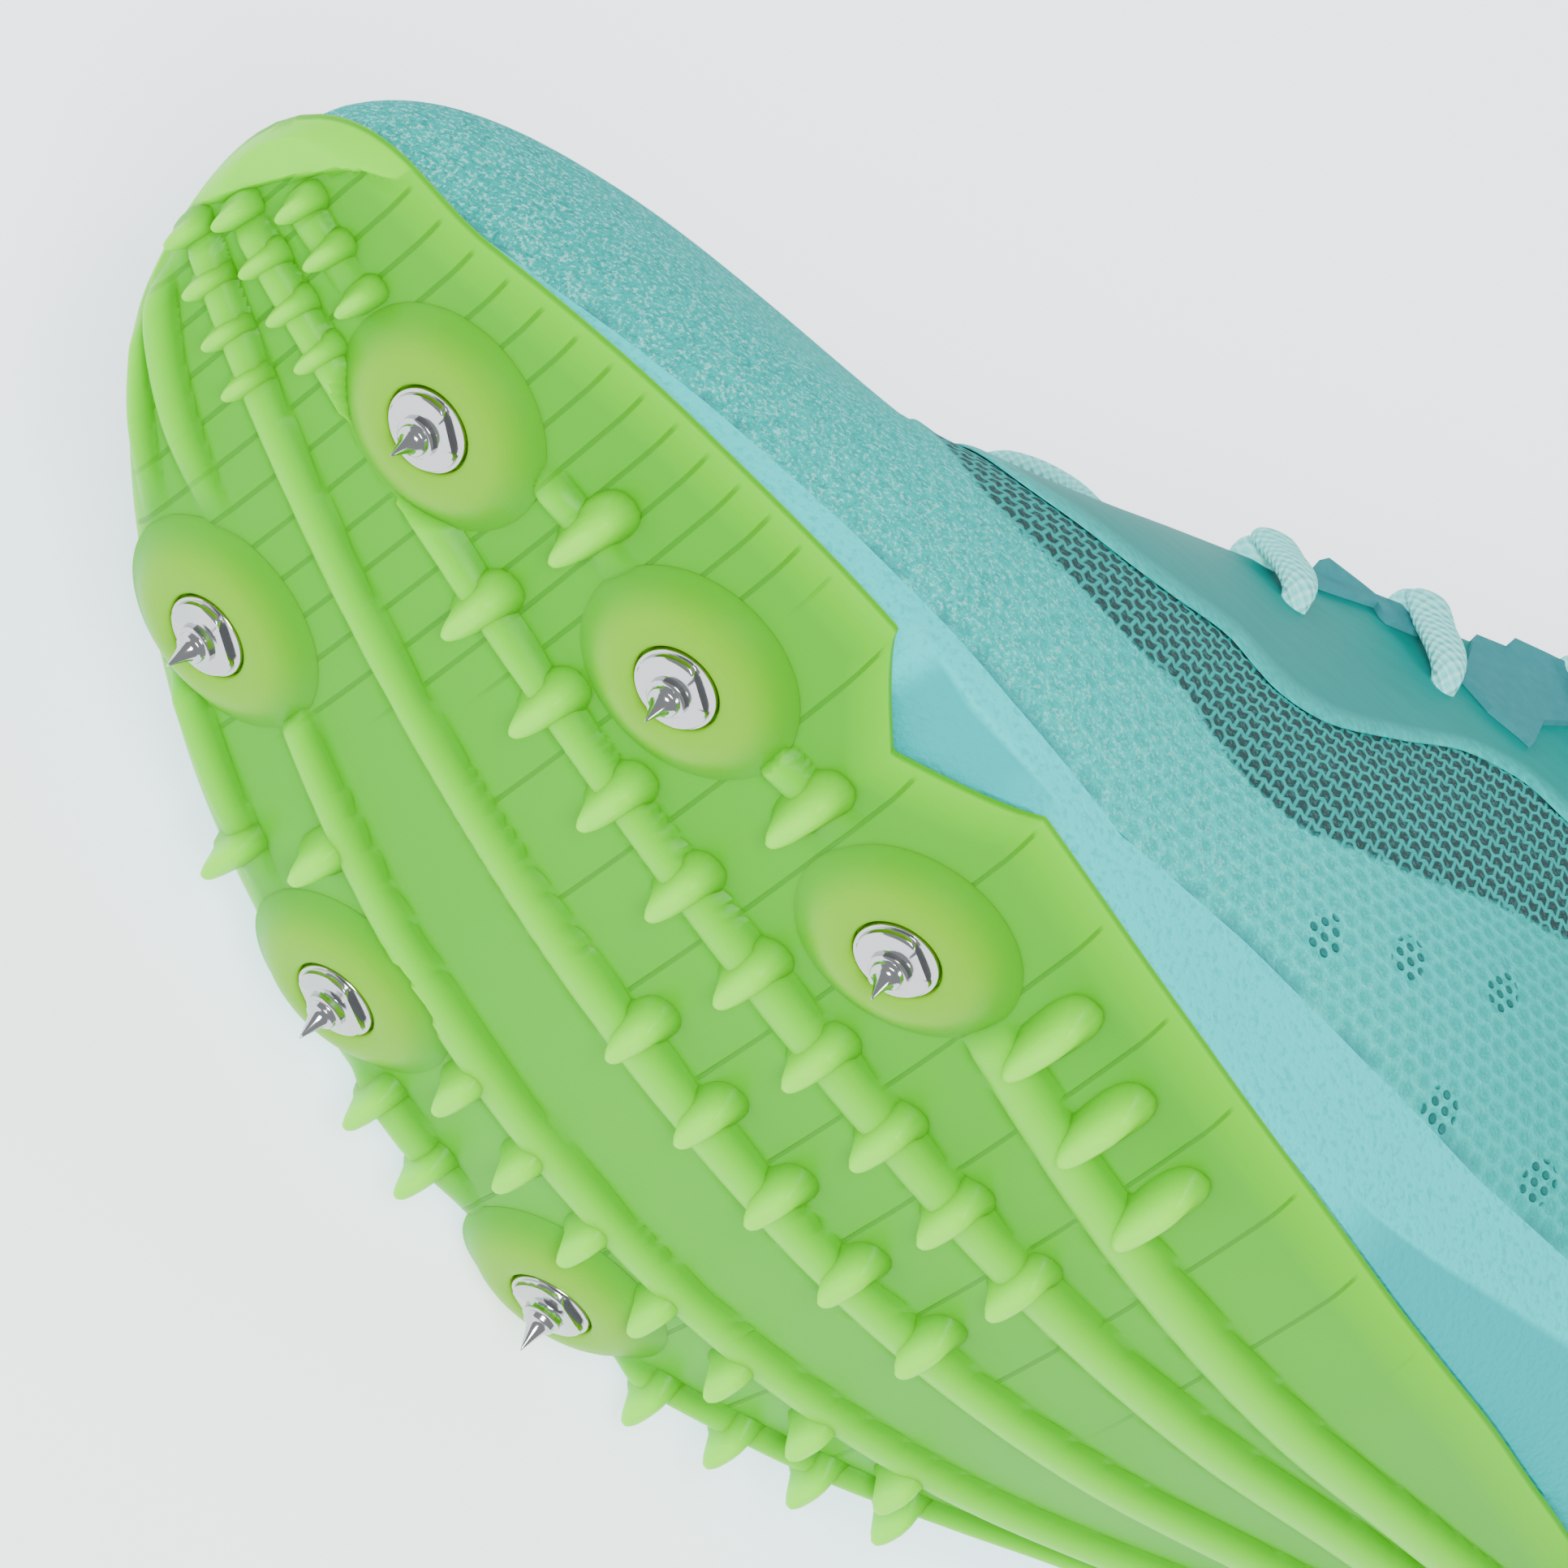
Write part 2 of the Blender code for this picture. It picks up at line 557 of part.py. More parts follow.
def toe_tab():
    """Low wall that turns up round the toe tip, one piece with the plate."""
    rings = []
    for step in range(-TAB_STEPS_OUT, TAB_STEPS_IN + 1):
        side = 1.0 if step >= 0 else -1.0
        turn = abs(step) / FOOT_STEPS
        foot, near = wall_foot(turn, side), wall_foot(turn + 0.01, side)
        run = (near - foot)[:2] * side
        out = np.array((-run[1], run[0], 0.0)) / np.linalg.norm(run)
        if step == 0:
            out = np.array((-1.0, 0.0, 0.0))
        middle = (TAB_STEPS_IN - TAB_STEPS_OUT) / 2.0
        fade = 1.0 - 0.8 * (abs(step - middle) / (TAB_STEPS_IN - middle)) ** 2
        base = ground(foot[0] / LENGTH, foot[1])
        ring = []
        for distance, height in ((2.0 * GAP, PLATE * 0.3), (2.0 * GAP, PLATE + TAB_RISE * fade),
                                 (2.0 * GAP + TAB_THICK * 0.6, PLATE + TAB_RISE * fade),
                                 (2.0 * GAP + TAB_THICK, PLATE + 0.5 * TAB_RISE * fade),
                                 (2.0 * GAP + TAB_THICK, PLATE * 0.5)):
            point = foot + out * distance
            point[2] = base + height
            ring.append(point)
        rings.append(ring)
    return loft(rings)


def heel_pad():
    """Flat pad under the heel."""
    flat = HEEL_RISE - HEEL_PAD_RISE
    rings = []
    for height, inset in ((flat, 0.0), (HEEL_RISE + LUG_SINK, -0.6)):
        ring = []
        half_long, half_wide = HEEL_PAD_LENGTH / 2 - inset, HEEL_PAD_WIDTH / 2 - inset
        for i in range(16):
            angle = 2 * math.pi * i / 16
            cos, sin = math.cos(angle), math.sin(angle)
            ring.append((HEEL_PAD_ALONG + half_long * math.copysign(abs(cos) ** 0.6, cos),
                         half_wide * math.copysign(abs(sin) ** 0.6, sin), height))
        rings.append(ring)
    return loft(rings)


def helper_group(name, meshes):
    """Hidden pieces in a collection of their own, for a Boolean."""
    group = bpy.data.collections.new(name)
    bpy.context.scene.collection.children.link(group)
    for index, bm in enumerate(meshes):
        helper = make_object(name + "_" + str(index), bm, None)
        bpy.context.scene.collection.objects.unlink(helper)
        group.objects.link(helper)
        helper.hide_render = True
        helper.display_type = "WIRE"
    return group


def join_to(piece, group):
    """Exact union of a piece with all the solids of a group."""
    step = piece.modifiers.new(group.name, "BOOLEAN")
    step.operation = "UNION"
    step.operand_type = "COLLECTION"
    step.collection = group
    step.solver = "EXACT"
    step.use_self = True


def outsole_plate():
    """The moulded plate with all that stands on it."""
    plate = make_object("outsole_plate", loft([plate_section(s) for s in stations()]), "plate_green")
    lugs = []
    for name, first, count, pitch, shift, long, thick, high in LUGS:
        for i in range(count):
            along = first + i * pitch
            across = rib_across(name, along) + shift * BALL_HALF
            lugs.append(lug(along, across, long, thick, high))
    bosses = [boss(along, across * BALL_HALF) for _name, along, across in BOSSES]
    join_to(plate, helper_group("toe_tab_and_heel_pad", [toe_tab(), heel_pad()]))
    join_to(plate, helper_group("ribs", [rib(name) for name in RIBS]))
    join_to(plate, helper_group("bosses", bosses))
    join_to(plate, helper_group("lugs", lugs))
    return plate


def midsole_section(along):
    """Ring of the foam: underside, inner side with its crease, top, outer side."""
    outer_plate, inner_plate = plate_edges(along)
    outer, inner = foam_edges(along)
    low_outer, low_inner = max(outer_plate, outer) + 0.2, min(inner_plate, inner) - 0.2
    if low_inner - low_outer < 0.5:
        low_outer, low_inner = outer * 0.9, inner * 0.9
    bottom = PLATE + GAP
    x = along * LENGTH
    top = feather(along)
    ring = []
    for i in range(6):
        across = low_outer + (low_inner - low_outer) * i / 5.0
        ring.append((x, across, ground(along, across) + bottom))
    crease = smooth(PROFILE, 6, along)
    crease_height = (1 - crease) * ring[5][2] + crease * top
    ring.append((x, low_inner + (inner - low_inner) * 0.97, crease_height))
    ring.append((x, inner, top))
    ring.append((x, (inner + outer) / 2.0, top))
    ring.append((x, outer, top))
    crease_height = (1 - crease) * ring[0][2] + crease * top
    ring.append((x, low_outer + (outer - low_outer) * 0.97, crease_height))
    return ring


def midsole():
    low, high = (TOE_SETBACK + 0.5) / LENGTH, 1.0 - (FOAM_SETBACK + 0.5) / LENGTH
    shares = [low] + [s for s in stations() if low + 0.003 < s < high - 0.003] + [high]
    return make_object("midsole", loft([midsole_section(s) for s in shares]), "foam_teal")


def insole():
    """Footbed inside the upper, resting on the foam."""
    inset = UPPER_WALL + 4.0 * GAP
    low, high = (TOE_SETBACK + inset + 6.0) / LENGTH, 1.0 - (inset + 4.0) / LENGTH
    rings = []
    for along in (share for share in stations() if low < share < high):
        outer, inner = foam_edges(along)
        outer, inner = outer + inset + 0.9, inner - inset - 0.9
        x, base = along * LENGTH, feather(along) + GAP
        lip = min(1.0, (inner - outer) / 20.0)
        rings.append([(x, outer, base), (x, (inner + outer) / 2, base), (x, inner, base),
                      (x, inner, base + INSOLE_THICK), (x, inner - 6.0 * lip, base + INSOLE_THICK * 0.8),
                      (x, outer + 6.0 * lip, base + INSOLE_THICK * 0.8), (x, outer, base + INSOLE_THICK)])
    return make_object("insole", loft(rings), "insole_grey")


def laps(count):
    return [i / count for i in range(count)]


def upper():
    """The hollow shell: one wall round the foot, open above and below."""
    rings = []
    ups = [i / WALL_STEPS for i in range(WALL_STEPS + 1)]
    for lap in laps(2 * FOOT_STEPS):
        outside = [wall_offset(lap, up, 0.0) for up in ups]
        inside = [wall_offset(lap, up, -UPPER_WALL) for up in ups]
        inside[0][2] = max(inside[0][2], outside[0][2])
        rings.append(outside + inside[::-1])
    return make_object("upper", loft(rings, closed=True), "upper_turquoise")


def eyestay():
    """The lacing overlay, a thin sheet on the wall's own grid round the throat."""
    last = int(THROAT_TURN * FOOT_STEPS)
    ups = [i / WALL_STEPS for i in range(EYESTAY_ROW, WALL_STEPS + 1)]
    rings = []
    for step in range(-last, last + 1):
        lap = step / (2.0 * FOOT_STEPS)
        outside = [wall_offset(lap, up, GAP + OVERLAY) for up in ups]
        inside = [wall_offset(lap, up, GAP) for up in ups]
        rings.append(outside + inside[::-1])
    return make_object("eyestay", loft(rings), "eyestay_turquoise")


def tongue_section(turn, raise_step):
    """Ring of the tongue under one pair of walls, with its middle raised between laces."""
    under = -(UPPER_WALL + 3.0 * GAP)
    ups = (0.80, 0.90, 1.0)
    inner = [wall_offset(turn / 2.0, up, under) for up in ups]
    outer = [wall_offset(1.0 - turn / 2.0, up, under) for up in ups]
    ridge = (inner[-1] + outer[-1]) / 2.0
    ridge[2] += 0.4 + raise_step
    crown_in = inner[-1] * 0.8 + outer[-1] * 0.2
    crown_out = outer[-1] * 0.8 + inner[-1] * 0.2
    crown_in[2] += raise_step
    crown_out[2] += raise_step
    top = inner + [crown_in, ridge, crown_out] + outer[::-1]
    low_ridge = (inner[-1] + outer[-1]) / 2.0
    low_ridge[2] -= TONGUE_THICK
    low_inner = [wall_offset(turn / 2.0, up, under - TONGUE_THICK) for up in ups]
    low_outer = [wall_offset(1.0 - turn / 2.0, up, under - TONGUE_THICK) for up in ups]
    below = low_outer + [low_ridge] + low_inner[::-1]
    return top + below


def turn_at_top(share):
    """The turn whose wall ends at a share of the length."""
    low, high = 0.0, 1.0
    for _step in range(30):
        middle = (low + high) / 2.0
        if smooth(WALLS, 1, middle) < share:
            low = middle
        else:
            high = middle
    return (low + high) / 2.0


def tongue():
    """Tongue from under the throat's front, stepped between the crossings, to beyond the top eyelets."""
    turns = []
    for first, second in zip(EYELETS[1:], EYELETS[2:]):
        start, end = turn_at_top(first + 0.012), turn_at_top(second - 0.012)
        turns += [(start, 0.0), (start + 0.004, 1.0), (end - 0.004, 0.25), (end, 0.0)]
    plain = [(step / FOOT_STEPS, 0.0) for step in range(TONGUE_START, TONGUE_START + 4)]
    turns = plain + turns + [(THROAT_TURN - 0.02, 0.0)]
    rings = [tongue_section(turn, TONGUE_STEP * share) for turn, share in turns]
    last = np.array(rings[-1])
    slope = np.array(rings[-1]).mean(axis=0) - np.array(rings[-3]).mean(axis=0)
    slope = slope / np.linalg.norm(slope)
    middle = last.mean(axis=0)
    for distance, width in ((0.35, 0.98), (0.75, 0.93), (1.0, 0.82)):
        ring = last + slope * TONGUE_REACH * distance
        ring[:, 1] = middle[1] + (last[:, 1] - middle[1]) * width
        rings.append([tuple(point) for point in ring])
    return make_object("tongue", loft(rings), "tongue_slate")


def strand(points):
    """Flat lace along a row of points with their normals."""
    rings = []
    for i, (point, normal) in enumerate(points):
        before = points[max(i - 1, 0)][0]
        after = points[min(i + 1, len(points) - 1)][0]
        run = (after - before) / np.linalg.norm(after - before)
        side = np.cross(run, normal)
        side = side / np.linalg.norm(side)
        ring = []
        for step in range(6):
            angle = 2.0 * math.pi * (step + 0.5) / 6.0
            ring.append(point + side * math.cos(angle) * LACE_WIDTH / 2.0
                        + normal * math.sin(angle) * LACE_THICK / 2.0)
        rings.append(ring)
    return loft(rings)


def eyelet_seat(share, side, inset):
    """Point on the eyestay this far from the throat's edge, and the surface's normal there."""
    turn = turn_at_top(share)
    lap = turn / 2.0 if side > 0 else 1.0 - turn / 2.0
    wall = np.linalg.norm(wall_point(lap, 1.0) - wall_point(lap, 0.85))
    up = 1.0 - 0.15 * inset / wall
    seat = wall_offset(lap, up, GAP + OVERLAY)
    normal = wall_offset(lap, up, 1.0) - wall_point(lap, up)
    return seat, normal / np.linalg.norm(normal)


def lace_route(first, second, lift):
    """Places along a strand from an inner eyelet to an outer one, each with its normal."""
    lead = 0.13 * LACE_WIDTH / LENGTH * (1.0 if second > first else -1.0)
    if first == second:
        lead = 0.0
    clear = GAP + LACE_THICK / 2.0
    spots = []
    for t, inset, side, extra in ((0.0, EYELET_INSET, 1.0, 0.1), (0.10, EYELET_INSET / 2.0, 1.0, 0.35),
                                  (0.22, 0.0, 1.0, 0.7), (0.78, 0.0, -1.0, 0.7),
                                  (0.90, EYELET_INSET / 2.0, -1.0, 0.35), (1.0, EYELET_INSET, -1.0, 0.1)):
        share = first + lead * side + (second - first) * t
        seat, normal = eyelet_seat(share, side, inset)
        spots.append((seat + normal * (clear + extra), normal))
    up_axis = np.array((0.0, 0.0, 1.0))
    middle = (spots[2][0] + spots[3][0]) / 2.0 + up_axis * lift
    spots.insert(3, (middle, up_axis))
    return spots


def laces():
    """All crossings in one solid: a bar at the front, then crosses up to the top eyelets."""
    lift = 1.2
    strands = [strand(lace_route(EYELETS[0], EYELETS[0], lift))]
    for low, high in zip(EYELETS, EYELETS[1:]):
        strands.append(strand(lace_route(high, low, lift)))
        strands.append(strand(lace_route(low, high, lift + LACE_THICK * 0.6)))
    first = make_object("laces", strands[0], "lace_mint")
    join_to(first, helper_group("lace_strands", strands[1:]))
    return first


def hull_face_below(pieces):
    """Normal of the hull face that the shoe rests on when it lies on its outer side."""
    depsgraph = bpy.context.evaluated_depsgraph_get()
    hull = bmesh.new()
    weight, moment = 0.0, Vector()
    for piece in pieces:
        evaluated = piece.evaluated_get(depsgraph)
        bm = bmesh.new()
        bm.from_mesh(evaluated.to_mesh())
        bmesh.ops.triangulate(bm, faces=bm.faces)
        for face in bm.faces:
            a, b, c = (vert.co for vert in face.verts)
            volume = a.dot(b.cross(c)) / 6.0
            weight += volume
            moment += (a + b + c) / 4.0 * volume
        for vert in bm.verts:
            hull.verts.new(vert.co)
        evaluated.to_mesh_clear()
        bm.free()
    centre_of_mass = moment / weight
    result = bmesh.ops.convex_hull(hull, input=hull.verts)
    best, best_score = Vector((0.0, -1.0, 0.0)), -1.0
    for face in (item for item in result["geom"] if isinstance(item, bmesh.types.BMFace)):
        normal = face.normal.copy()
        if normal.dot(face.calc_center_median() - centre_of_mass) < 0.0:
            normal.negate()
        corners = [vert.co for vert in face.verts]
        foot = centre_of_mass + normal * normal.dot(corners[0] - centre_of_mass)
        crossings = [(b - a).cross(foot - a).dot(normal) for a, b in zip(corners, corners[1:] + corners[:1])]
        inside = all(value >= 0.0 for value in crossings) or all(value <= 0.0 for value in crossings)
        if inside and -normal.y > best_score:
            best, best_score = normal, -normal.y
    hull.free()
    return best


def lay_down(pieces):
    """Turn the shoe onto its outer side and stand its box's bottom centre on the origin."""
    bpy.context.view_layer.update()
    down = hull_face_below(pieces)
    turn = down.rotation_difference(Vector((0.0, 0.0, -1.0))).to_matrix()
    toe = turn @ Vector((1.0, 0.0, 0.0))
    turn = Matrix.Rotation(math.pi - math.atan2(toe.y, toe.x), 3, "Z") @ turn
    depsgraph = bpy.context.evaluated_depsgraph_get()
    corners = []
    for piece in pieces:
        corners += [turn @ vert.co for vert in piece.evaluated_get(depsgraph).data.vertices]
    low = Vector([min(corner[axis] for corner in corners) for axis in range(3)])
    high = Vector([max(corner[axis] for corner in corners) for axis in range(3)])
    base = Vector(((low.x + high.x) / 2.0, (low.y + high.y) / 2.0, low.z))
    last = bpy.data.objects.new("last", None)
    bpy.context.scene.collection.objects.link(last)
    last.matrix_world = Matrix.Translation(-base) @ turn.to_4x4()
    for item in bpy.data.objects:
        if item is not last:
            item.parent = last
    bpy.context.view_layer.update()


def main():
    for item in list(bpy.data.objects):
        bpy.data.objects.remove(item, do_unlink=True)
    pieces = [outsole_plate(), midsole(), insole(), upper(), eyestay(), tongue(), laces()]
    pieces += [pin(name, along, across * BALL_HALF) for name, along, across in BOSSES]
    lay_down(pieces)


main()
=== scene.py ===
import math

import bpy
import numpy as np
from mathutils import Matrix, Vector


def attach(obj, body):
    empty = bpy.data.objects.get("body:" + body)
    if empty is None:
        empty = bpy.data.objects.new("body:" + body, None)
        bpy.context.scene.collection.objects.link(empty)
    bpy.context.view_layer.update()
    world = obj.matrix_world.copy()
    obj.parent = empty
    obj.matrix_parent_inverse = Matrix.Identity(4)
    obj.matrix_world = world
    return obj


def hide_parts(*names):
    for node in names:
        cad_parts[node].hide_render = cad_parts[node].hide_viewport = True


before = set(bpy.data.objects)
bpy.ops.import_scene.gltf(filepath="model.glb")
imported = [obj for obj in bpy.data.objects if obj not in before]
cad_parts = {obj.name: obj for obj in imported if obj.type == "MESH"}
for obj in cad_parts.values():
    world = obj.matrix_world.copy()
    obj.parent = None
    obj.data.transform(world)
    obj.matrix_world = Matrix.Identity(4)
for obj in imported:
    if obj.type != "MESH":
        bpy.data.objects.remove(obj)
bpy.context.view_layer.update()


# ---- The outsole plate ----
# A satin, slightly clear lime plate, moulded in one shot: long ribs, thin cuts across them, six
# round bosses for the pins and rows of small fins.  It turns up as a tab round the toe.
# All its sizes are in millimetres: s back from the toe, y to the inner side, z up from the ball.
SHOE_LENGTH = 285.0
BALL_HALF = 45.0
TOE_SPRING, ARCH_RISE, HEEL_RISE, CROWN = 21.0, 20.0, 8.0, 3.9
PLATE, EDGE_LIFT, EDGE_BAND = 2.2, 1.4, 4.0
BALL_FOAM, HEEL_FOAM, FOAM_SETBACK, TOE_SETBACK = 6.0, 19.0, 0.8, 2.6
GAP = 0.3
NOTCH_DEPTH, NOTCH_ALONG, NOTCH_HALF = 8.5, 61.0, 9.5
BOSS_RADIUS, BOSS_RISE, SEAT_DEPTH = 9.7, 2.2, 0.9
SEAT_RADIUS = 5.4         # the sunk seat of a pin's flange
RIB_HALF, RIB_RISE, RIB_WIDENING = 1.8, 1.55, 0.9
RIB_TAIL = 12.0           # a rib's rear end fades out over this
GROOVE_DEEP, GROOVE_WIDE, GROOVE_BELOW = 0.3, 0.3, 0.9      # only on relief lower than the last
PLATE_DARK, PLATE_LIGHT = (0.050, 0.38, 0.0), (0.072, 0.45, 0.001)
# Painted light: the first tint lightens the domes towards their tops, the second is a painted highlight on
# raised relief, rim and toe tab
BOSS_PAINTED_LIGHT, PAINTED_HIGHLIGHT, CUT_TINT = (0.20, 0.50, 0.001), (0.25, 0.92, 0.01), (0.03, 0.20, 0.002)
TOE_CUTS, BALL_CUTS, CUT_HALF = 3.3, 9.45, 0.12
CUT_ZONES = (44.0, 47.0, 47.5, 50.0, 128.0, 134.0)      # the toe's fade out, the ball's in and out
CUTS_FROM = 88.0          # the outer side has no cuts in front of this
ROW_FROM, ROW_PITCH, COLUMNS = 0.06, 0.36, 128
TAB_LIP = 0.5
TAB_LINE = ((-14.0, 8.6), (-11.0, 6.6), (-8.5, 5.1), (-6.0, 3.9), (-2.5, 3.4), (1.5, 3.1), (5.0, 3.1),
            (9.0, 3.4), (12.5, 3.7), (14.5, 4.4), (17.0, 6.0))
SLANT = math.radians(16.0)

# How the finished shoe lies: on its outer side, toe towards -X (metres)
LAST = Matrix((
    (-0.9975988, 0.0686112, -0.0094396, -0.1422801),
    (-0.0000001, 0.1362948, 0.9906682, -0.0474505),
    (0.0692575, 0.9882895, -0.1359676, 0.0563964),
    (0.0, 0.0, 0.0, 1.0),
))

# Half width and middle of the sole, and how far the plate's edge is tucked in at the waist
OUTLINE = (
    # share of the length, half, centre, tuck_in, tuck_out
    (0.000, 0.000, 0.155, 0.000, 0.000),
    (0.046, 0.471, 0.030, 0.000, 0.000),
    (0.109, 0.731, 0.033, 0.000, 0.000),
    (0.193, 0.933, 0.022, 0.000, 0.000),
    (0.295, 1.000, -0.015, 0.000, 0.000),
    (0.390, 0.988, -0.040, 0.015, 0.010),
    (0.450, 0.945, -0.047, 0.050, 0.150),
    (0.500, 0.903, -0.048, 0.105, 0.315),
    (0.547, 0.862, -0.047, 0.200, 0.420),
    (0.620, 0.800, -0.042, 0.330, 0.440),
    (0.700, 0.738, -0.027, 0.245, 0.310),
    (0.780, 0.705, 0.000, 0.080, 0.090),
    (0.870, 0.690, 0.000, 0.020, 0.020),
    (0.950, 0.552, 0.000, 0.020, 0.020),
    (1.000, 0.000, 0.000, 0.020, 0.020),
)

# Rise of the plate and thickness of the foam over it, along the middle
PROFILE = (
    # share of the length, toe, arch, heel, ball_foam, heel_foam, crease
    (0.000, 1.000, 0.000, 0.00, 0.17, 0.00, 0.50),
    (0.056, 0.680, 0.000, 0.00, 0.30, 0.00, 0.50),
    (0.126, 0.371, 0.000, 0.00, 0.58, 0.00, 0.50),
    (0.196, 0.157, 0.000, 0.00, 0.75, 0.00, 0.55),
    (0.267, 0.033, 0.000, 0.00, 0.92, 0.00, 0.40),
    (0.340, 0.000, 0.000, 0.00, 1.00, 0.22, 0.12),
    (0.407, 0.000, 0.063, 0.00, 0.90, 0.34, 0.20),
    (0.477, 0.000, 0.270, 0.00, 0.70, 0.44, 0.50),
    (0.547, 0.000, 0.620, 0.00, 0.30, 0.55, 0.70),
    (0.600, 0.000, 0.890, 0.00, 0.10, 0.60, 0.72),
    (0.650, 0.000, 1.000, 0.00, 0.00, 0.62, 0.70),
    (0.720, 0.000, 0.850, 0.00, 0.00, 0.72, 0.60),
    (0.790, 0.000, 0.350, 0.50, 0.00, 0.90, 0.45),
    (0.850, 0.000, 0.000, 1.00, 0.00, 1.00, 0.40),
    (0.920, 0.000, 0.000, 1.00, 0.00, 1.00, 0.40),
    (1.000, 0.000, 0.000, 1.80, 0.00, 0.80, 0.40),
)

BOSSES = (
    # name, share of the length, share of the half width
    ("front_inner", 0.083, 0.267),
    ("mid_inner", 0.171, 0.511),
    ("rear_inner", 0.268, 0.602),
    ("front_outer", 0.126, -0.516),
    ("mid_outer", 0.247, -0.776),
    ("rear_outer", 0.371, -0.876),
)

# Each rib is a parabola: start, end, and its place across at the start, middle and end
RIBS = {
    "inner_toe": (0.018, 0.054, 0.153, 0.182, 0.224),
    "inner_front": (0.105, 0.147, 0.427, 0.467, 0.502),
    "inner_ball": (0.196, 0.239, 0.573, 0.613, 0.638),
    "inner_waist": (0.302, 0.610, 0.631, 0.470, 0.265),
    "second": (0.018, 0.620, 0.009, 0.269, 0.130),
    "third": (0.018, 0.630, -0.116, -0.135, 0.005),
    "fourth": (0.154, 0.620, -0.451, -0.550, -0.120),
    "outer_toe": (0.028, 0.105, -0.271, -0.369, -0.382),
    "outer_front": (0.039, 0.098, -0.389, -0.500, -0.560),
    "outer_ball": (0.140, 0.218, -0.711, -0.778, -0.844),
    "outer_rear": (0.281, 0.347, -0.929, -0.944, -0.978),
    "outer_waist": (0.407, 0.600, -0.950, -0.590, -0.245),
}

FINS = (
    # rib, first, count, pitch, shift beside the rib, long, thick, high
    ("inner_toe", 0.0190, 3, 0.0137, 0.01, 5.0, 2.3, 2.4),
    ("second", 0.0165, 4, 0.0137, 0.00, 5.0, 2.3, 2.4),
    ("third", 0.0180, 4, 0.0140, -0.01, 5.0, 2.3, 2.4),
    ("inner_front", 0.1240, 1, 0.0320, 0.02, 9.5, 3.3, 3.4),
    ("inner_ball", 0.2190, 1, 0.0320, -0.02, 9.5, 3.3, 3.4),
    ("inner_waist", 0.3100, 3, 0.0330, 0.12, 11.5, 3.3, 3.4),
    ("second", 0.1360, 9, 0.0319, 0.00, 8.5, 3.3, 3.4),
    ("third", 0.2740, 5, 0.0333, 0.06, 8.0, 3.3, 3.4),
    ("fourth", 0.2010, 1, 0.0310, -0.07, 7.0, 3.3, 3.4),
    ("fourth", 0.2850, 7, 0.0309, -0.06, 7.0, 3.3, 3.4),
    ("outer_ball", 0.1960, 1, 0.0310, -0.01, 7.0, 3.0, 3.4),
    ("outer_rear", 0.2885, 2, 0.0280, 0.01, 7.0, 3.0, 3.4),
    ("outer_waist", 0.4190, 4, 0.0230, 0.00, 7.0, 3.0, 3.4),
)


def curve(table, column, at):
    """Smooth line without overshoot through one column of a table, at many places at once."""
    xs = np.array([row[0] for row in table])
    ys = np.array([row[column] for row in table])
    at = np.clip(at, xs[0], xs[-1])
    steps = np.diff(xs)
    slopes = np.diff(ys) / steps
    bends = np.concatenate(([slopes[0]], (slopes[:-1] + slopes[1:]) / 2.0, [slopes[-1]]))
    for i, slope in enumerate(slopes):
        if slope == 0.0:
            bends[i] = bends[i + 1] = 0.0
    for i in range(1, len(slopes)):
        if slopes[i - 1] * slopes[i] <= 0.0:
            bends[i] = 0.0
        else:
            limit = 3.0 * min(abs(slopes[i - 1]), abs(slopes[i]))
            bends[i] = math.copysign(min(abs(bends[i]), limit), slopes[i])
    i = np.clip(np.searchsorted(xs, at) - 1, 0, len(slopes) - 1)
    t = (at - xs[i]) / steps[i]
    rise = ys[i + 1] - ys[i]
    low, high = bends[i] * steps[i], bends[i + 1] * steps[i]
    return ys[i] + t * (low + t * (3.0 * rise - 2.0 * low - high + t * (low + high - 2.0 * rise)))


def ease(value, low, high):
    """0 below low, 1 above high, an S between them."""
    t = np.clip((np.asarray(value, float) - low) / (high - low), 0.0, 1.0)
    return t * t * (3.0 - 2.0 * t)


def unit(ways):
    return ways / np.linalg.norm(ways, axis=-1, keepdims=True)


def half_width(along):
    squares = tuple((row[0], row[1] ** 2) for row in OUTLINE)
    return BALL_HALF * np.sqrt(np.maximum(curve(squares, 1, along), 0.0))


def foam_edges(along):
    """Outer and inner edge of the foam at a share of the length."""
    share = (along * SHOE_LENGTH - TOE_SETBACK) / (SHOE_LENGTH - TOE_SETBACK - FOAM_SETBACK)
    half = np.maximum(half_width(np.clip(share, 0.0, 1.0)) - FOAM_SETBACK, 0.0)
    middle = BALL_HALF * curve(OUTLINE, 2, along)
    return middle - half, middle + half


def plate_edges(along):
    """Outer and inner edge of the plate, with the notch and the swell round the outer bosses."""
    half = half_width(along)
    middle = BALL_HALF * curve(OUTLINE, 2, along)
    outer = middle - half + BALL_HALF * curve(OUTLINE, 4, along)
    inner = middle + half - BALL_HALF * curve(OUTLINE, 3, along)
    from_notch = np.clip(np.abs(along * SHOE_LENGTH - NOTCH_ALONG) / NOTCH_HALF, 0.0, 1.0)
    inner = inner - NOTCH_DEPTH * (1.0 - from_notch) ** 0.8
    for _name, share, across in BOSSES:
        if across < 0.0:
            away = (along - share) * SHOE_LENGTH
            reach = np.sqrt(np.maximum(BOSS_RADIUS ** 2 - away ** 2, 0.0))
            outer = np.where(reach > 0.0, np.minimum(outer, across * BALL_HALF - reach), outer)
    return outer, inner


def ground(along, across):
    """Height of the bare plate's underside."""
    rise = TOE_SPRING * curve(PROFILE, 1, along) + ARCH_RISE * curve(PROFILE, 2, along)
    return rise + HEEL_RISE * curve(PROFILE, 3, along) + CROWN * (across / BALL_HALF) ** 2


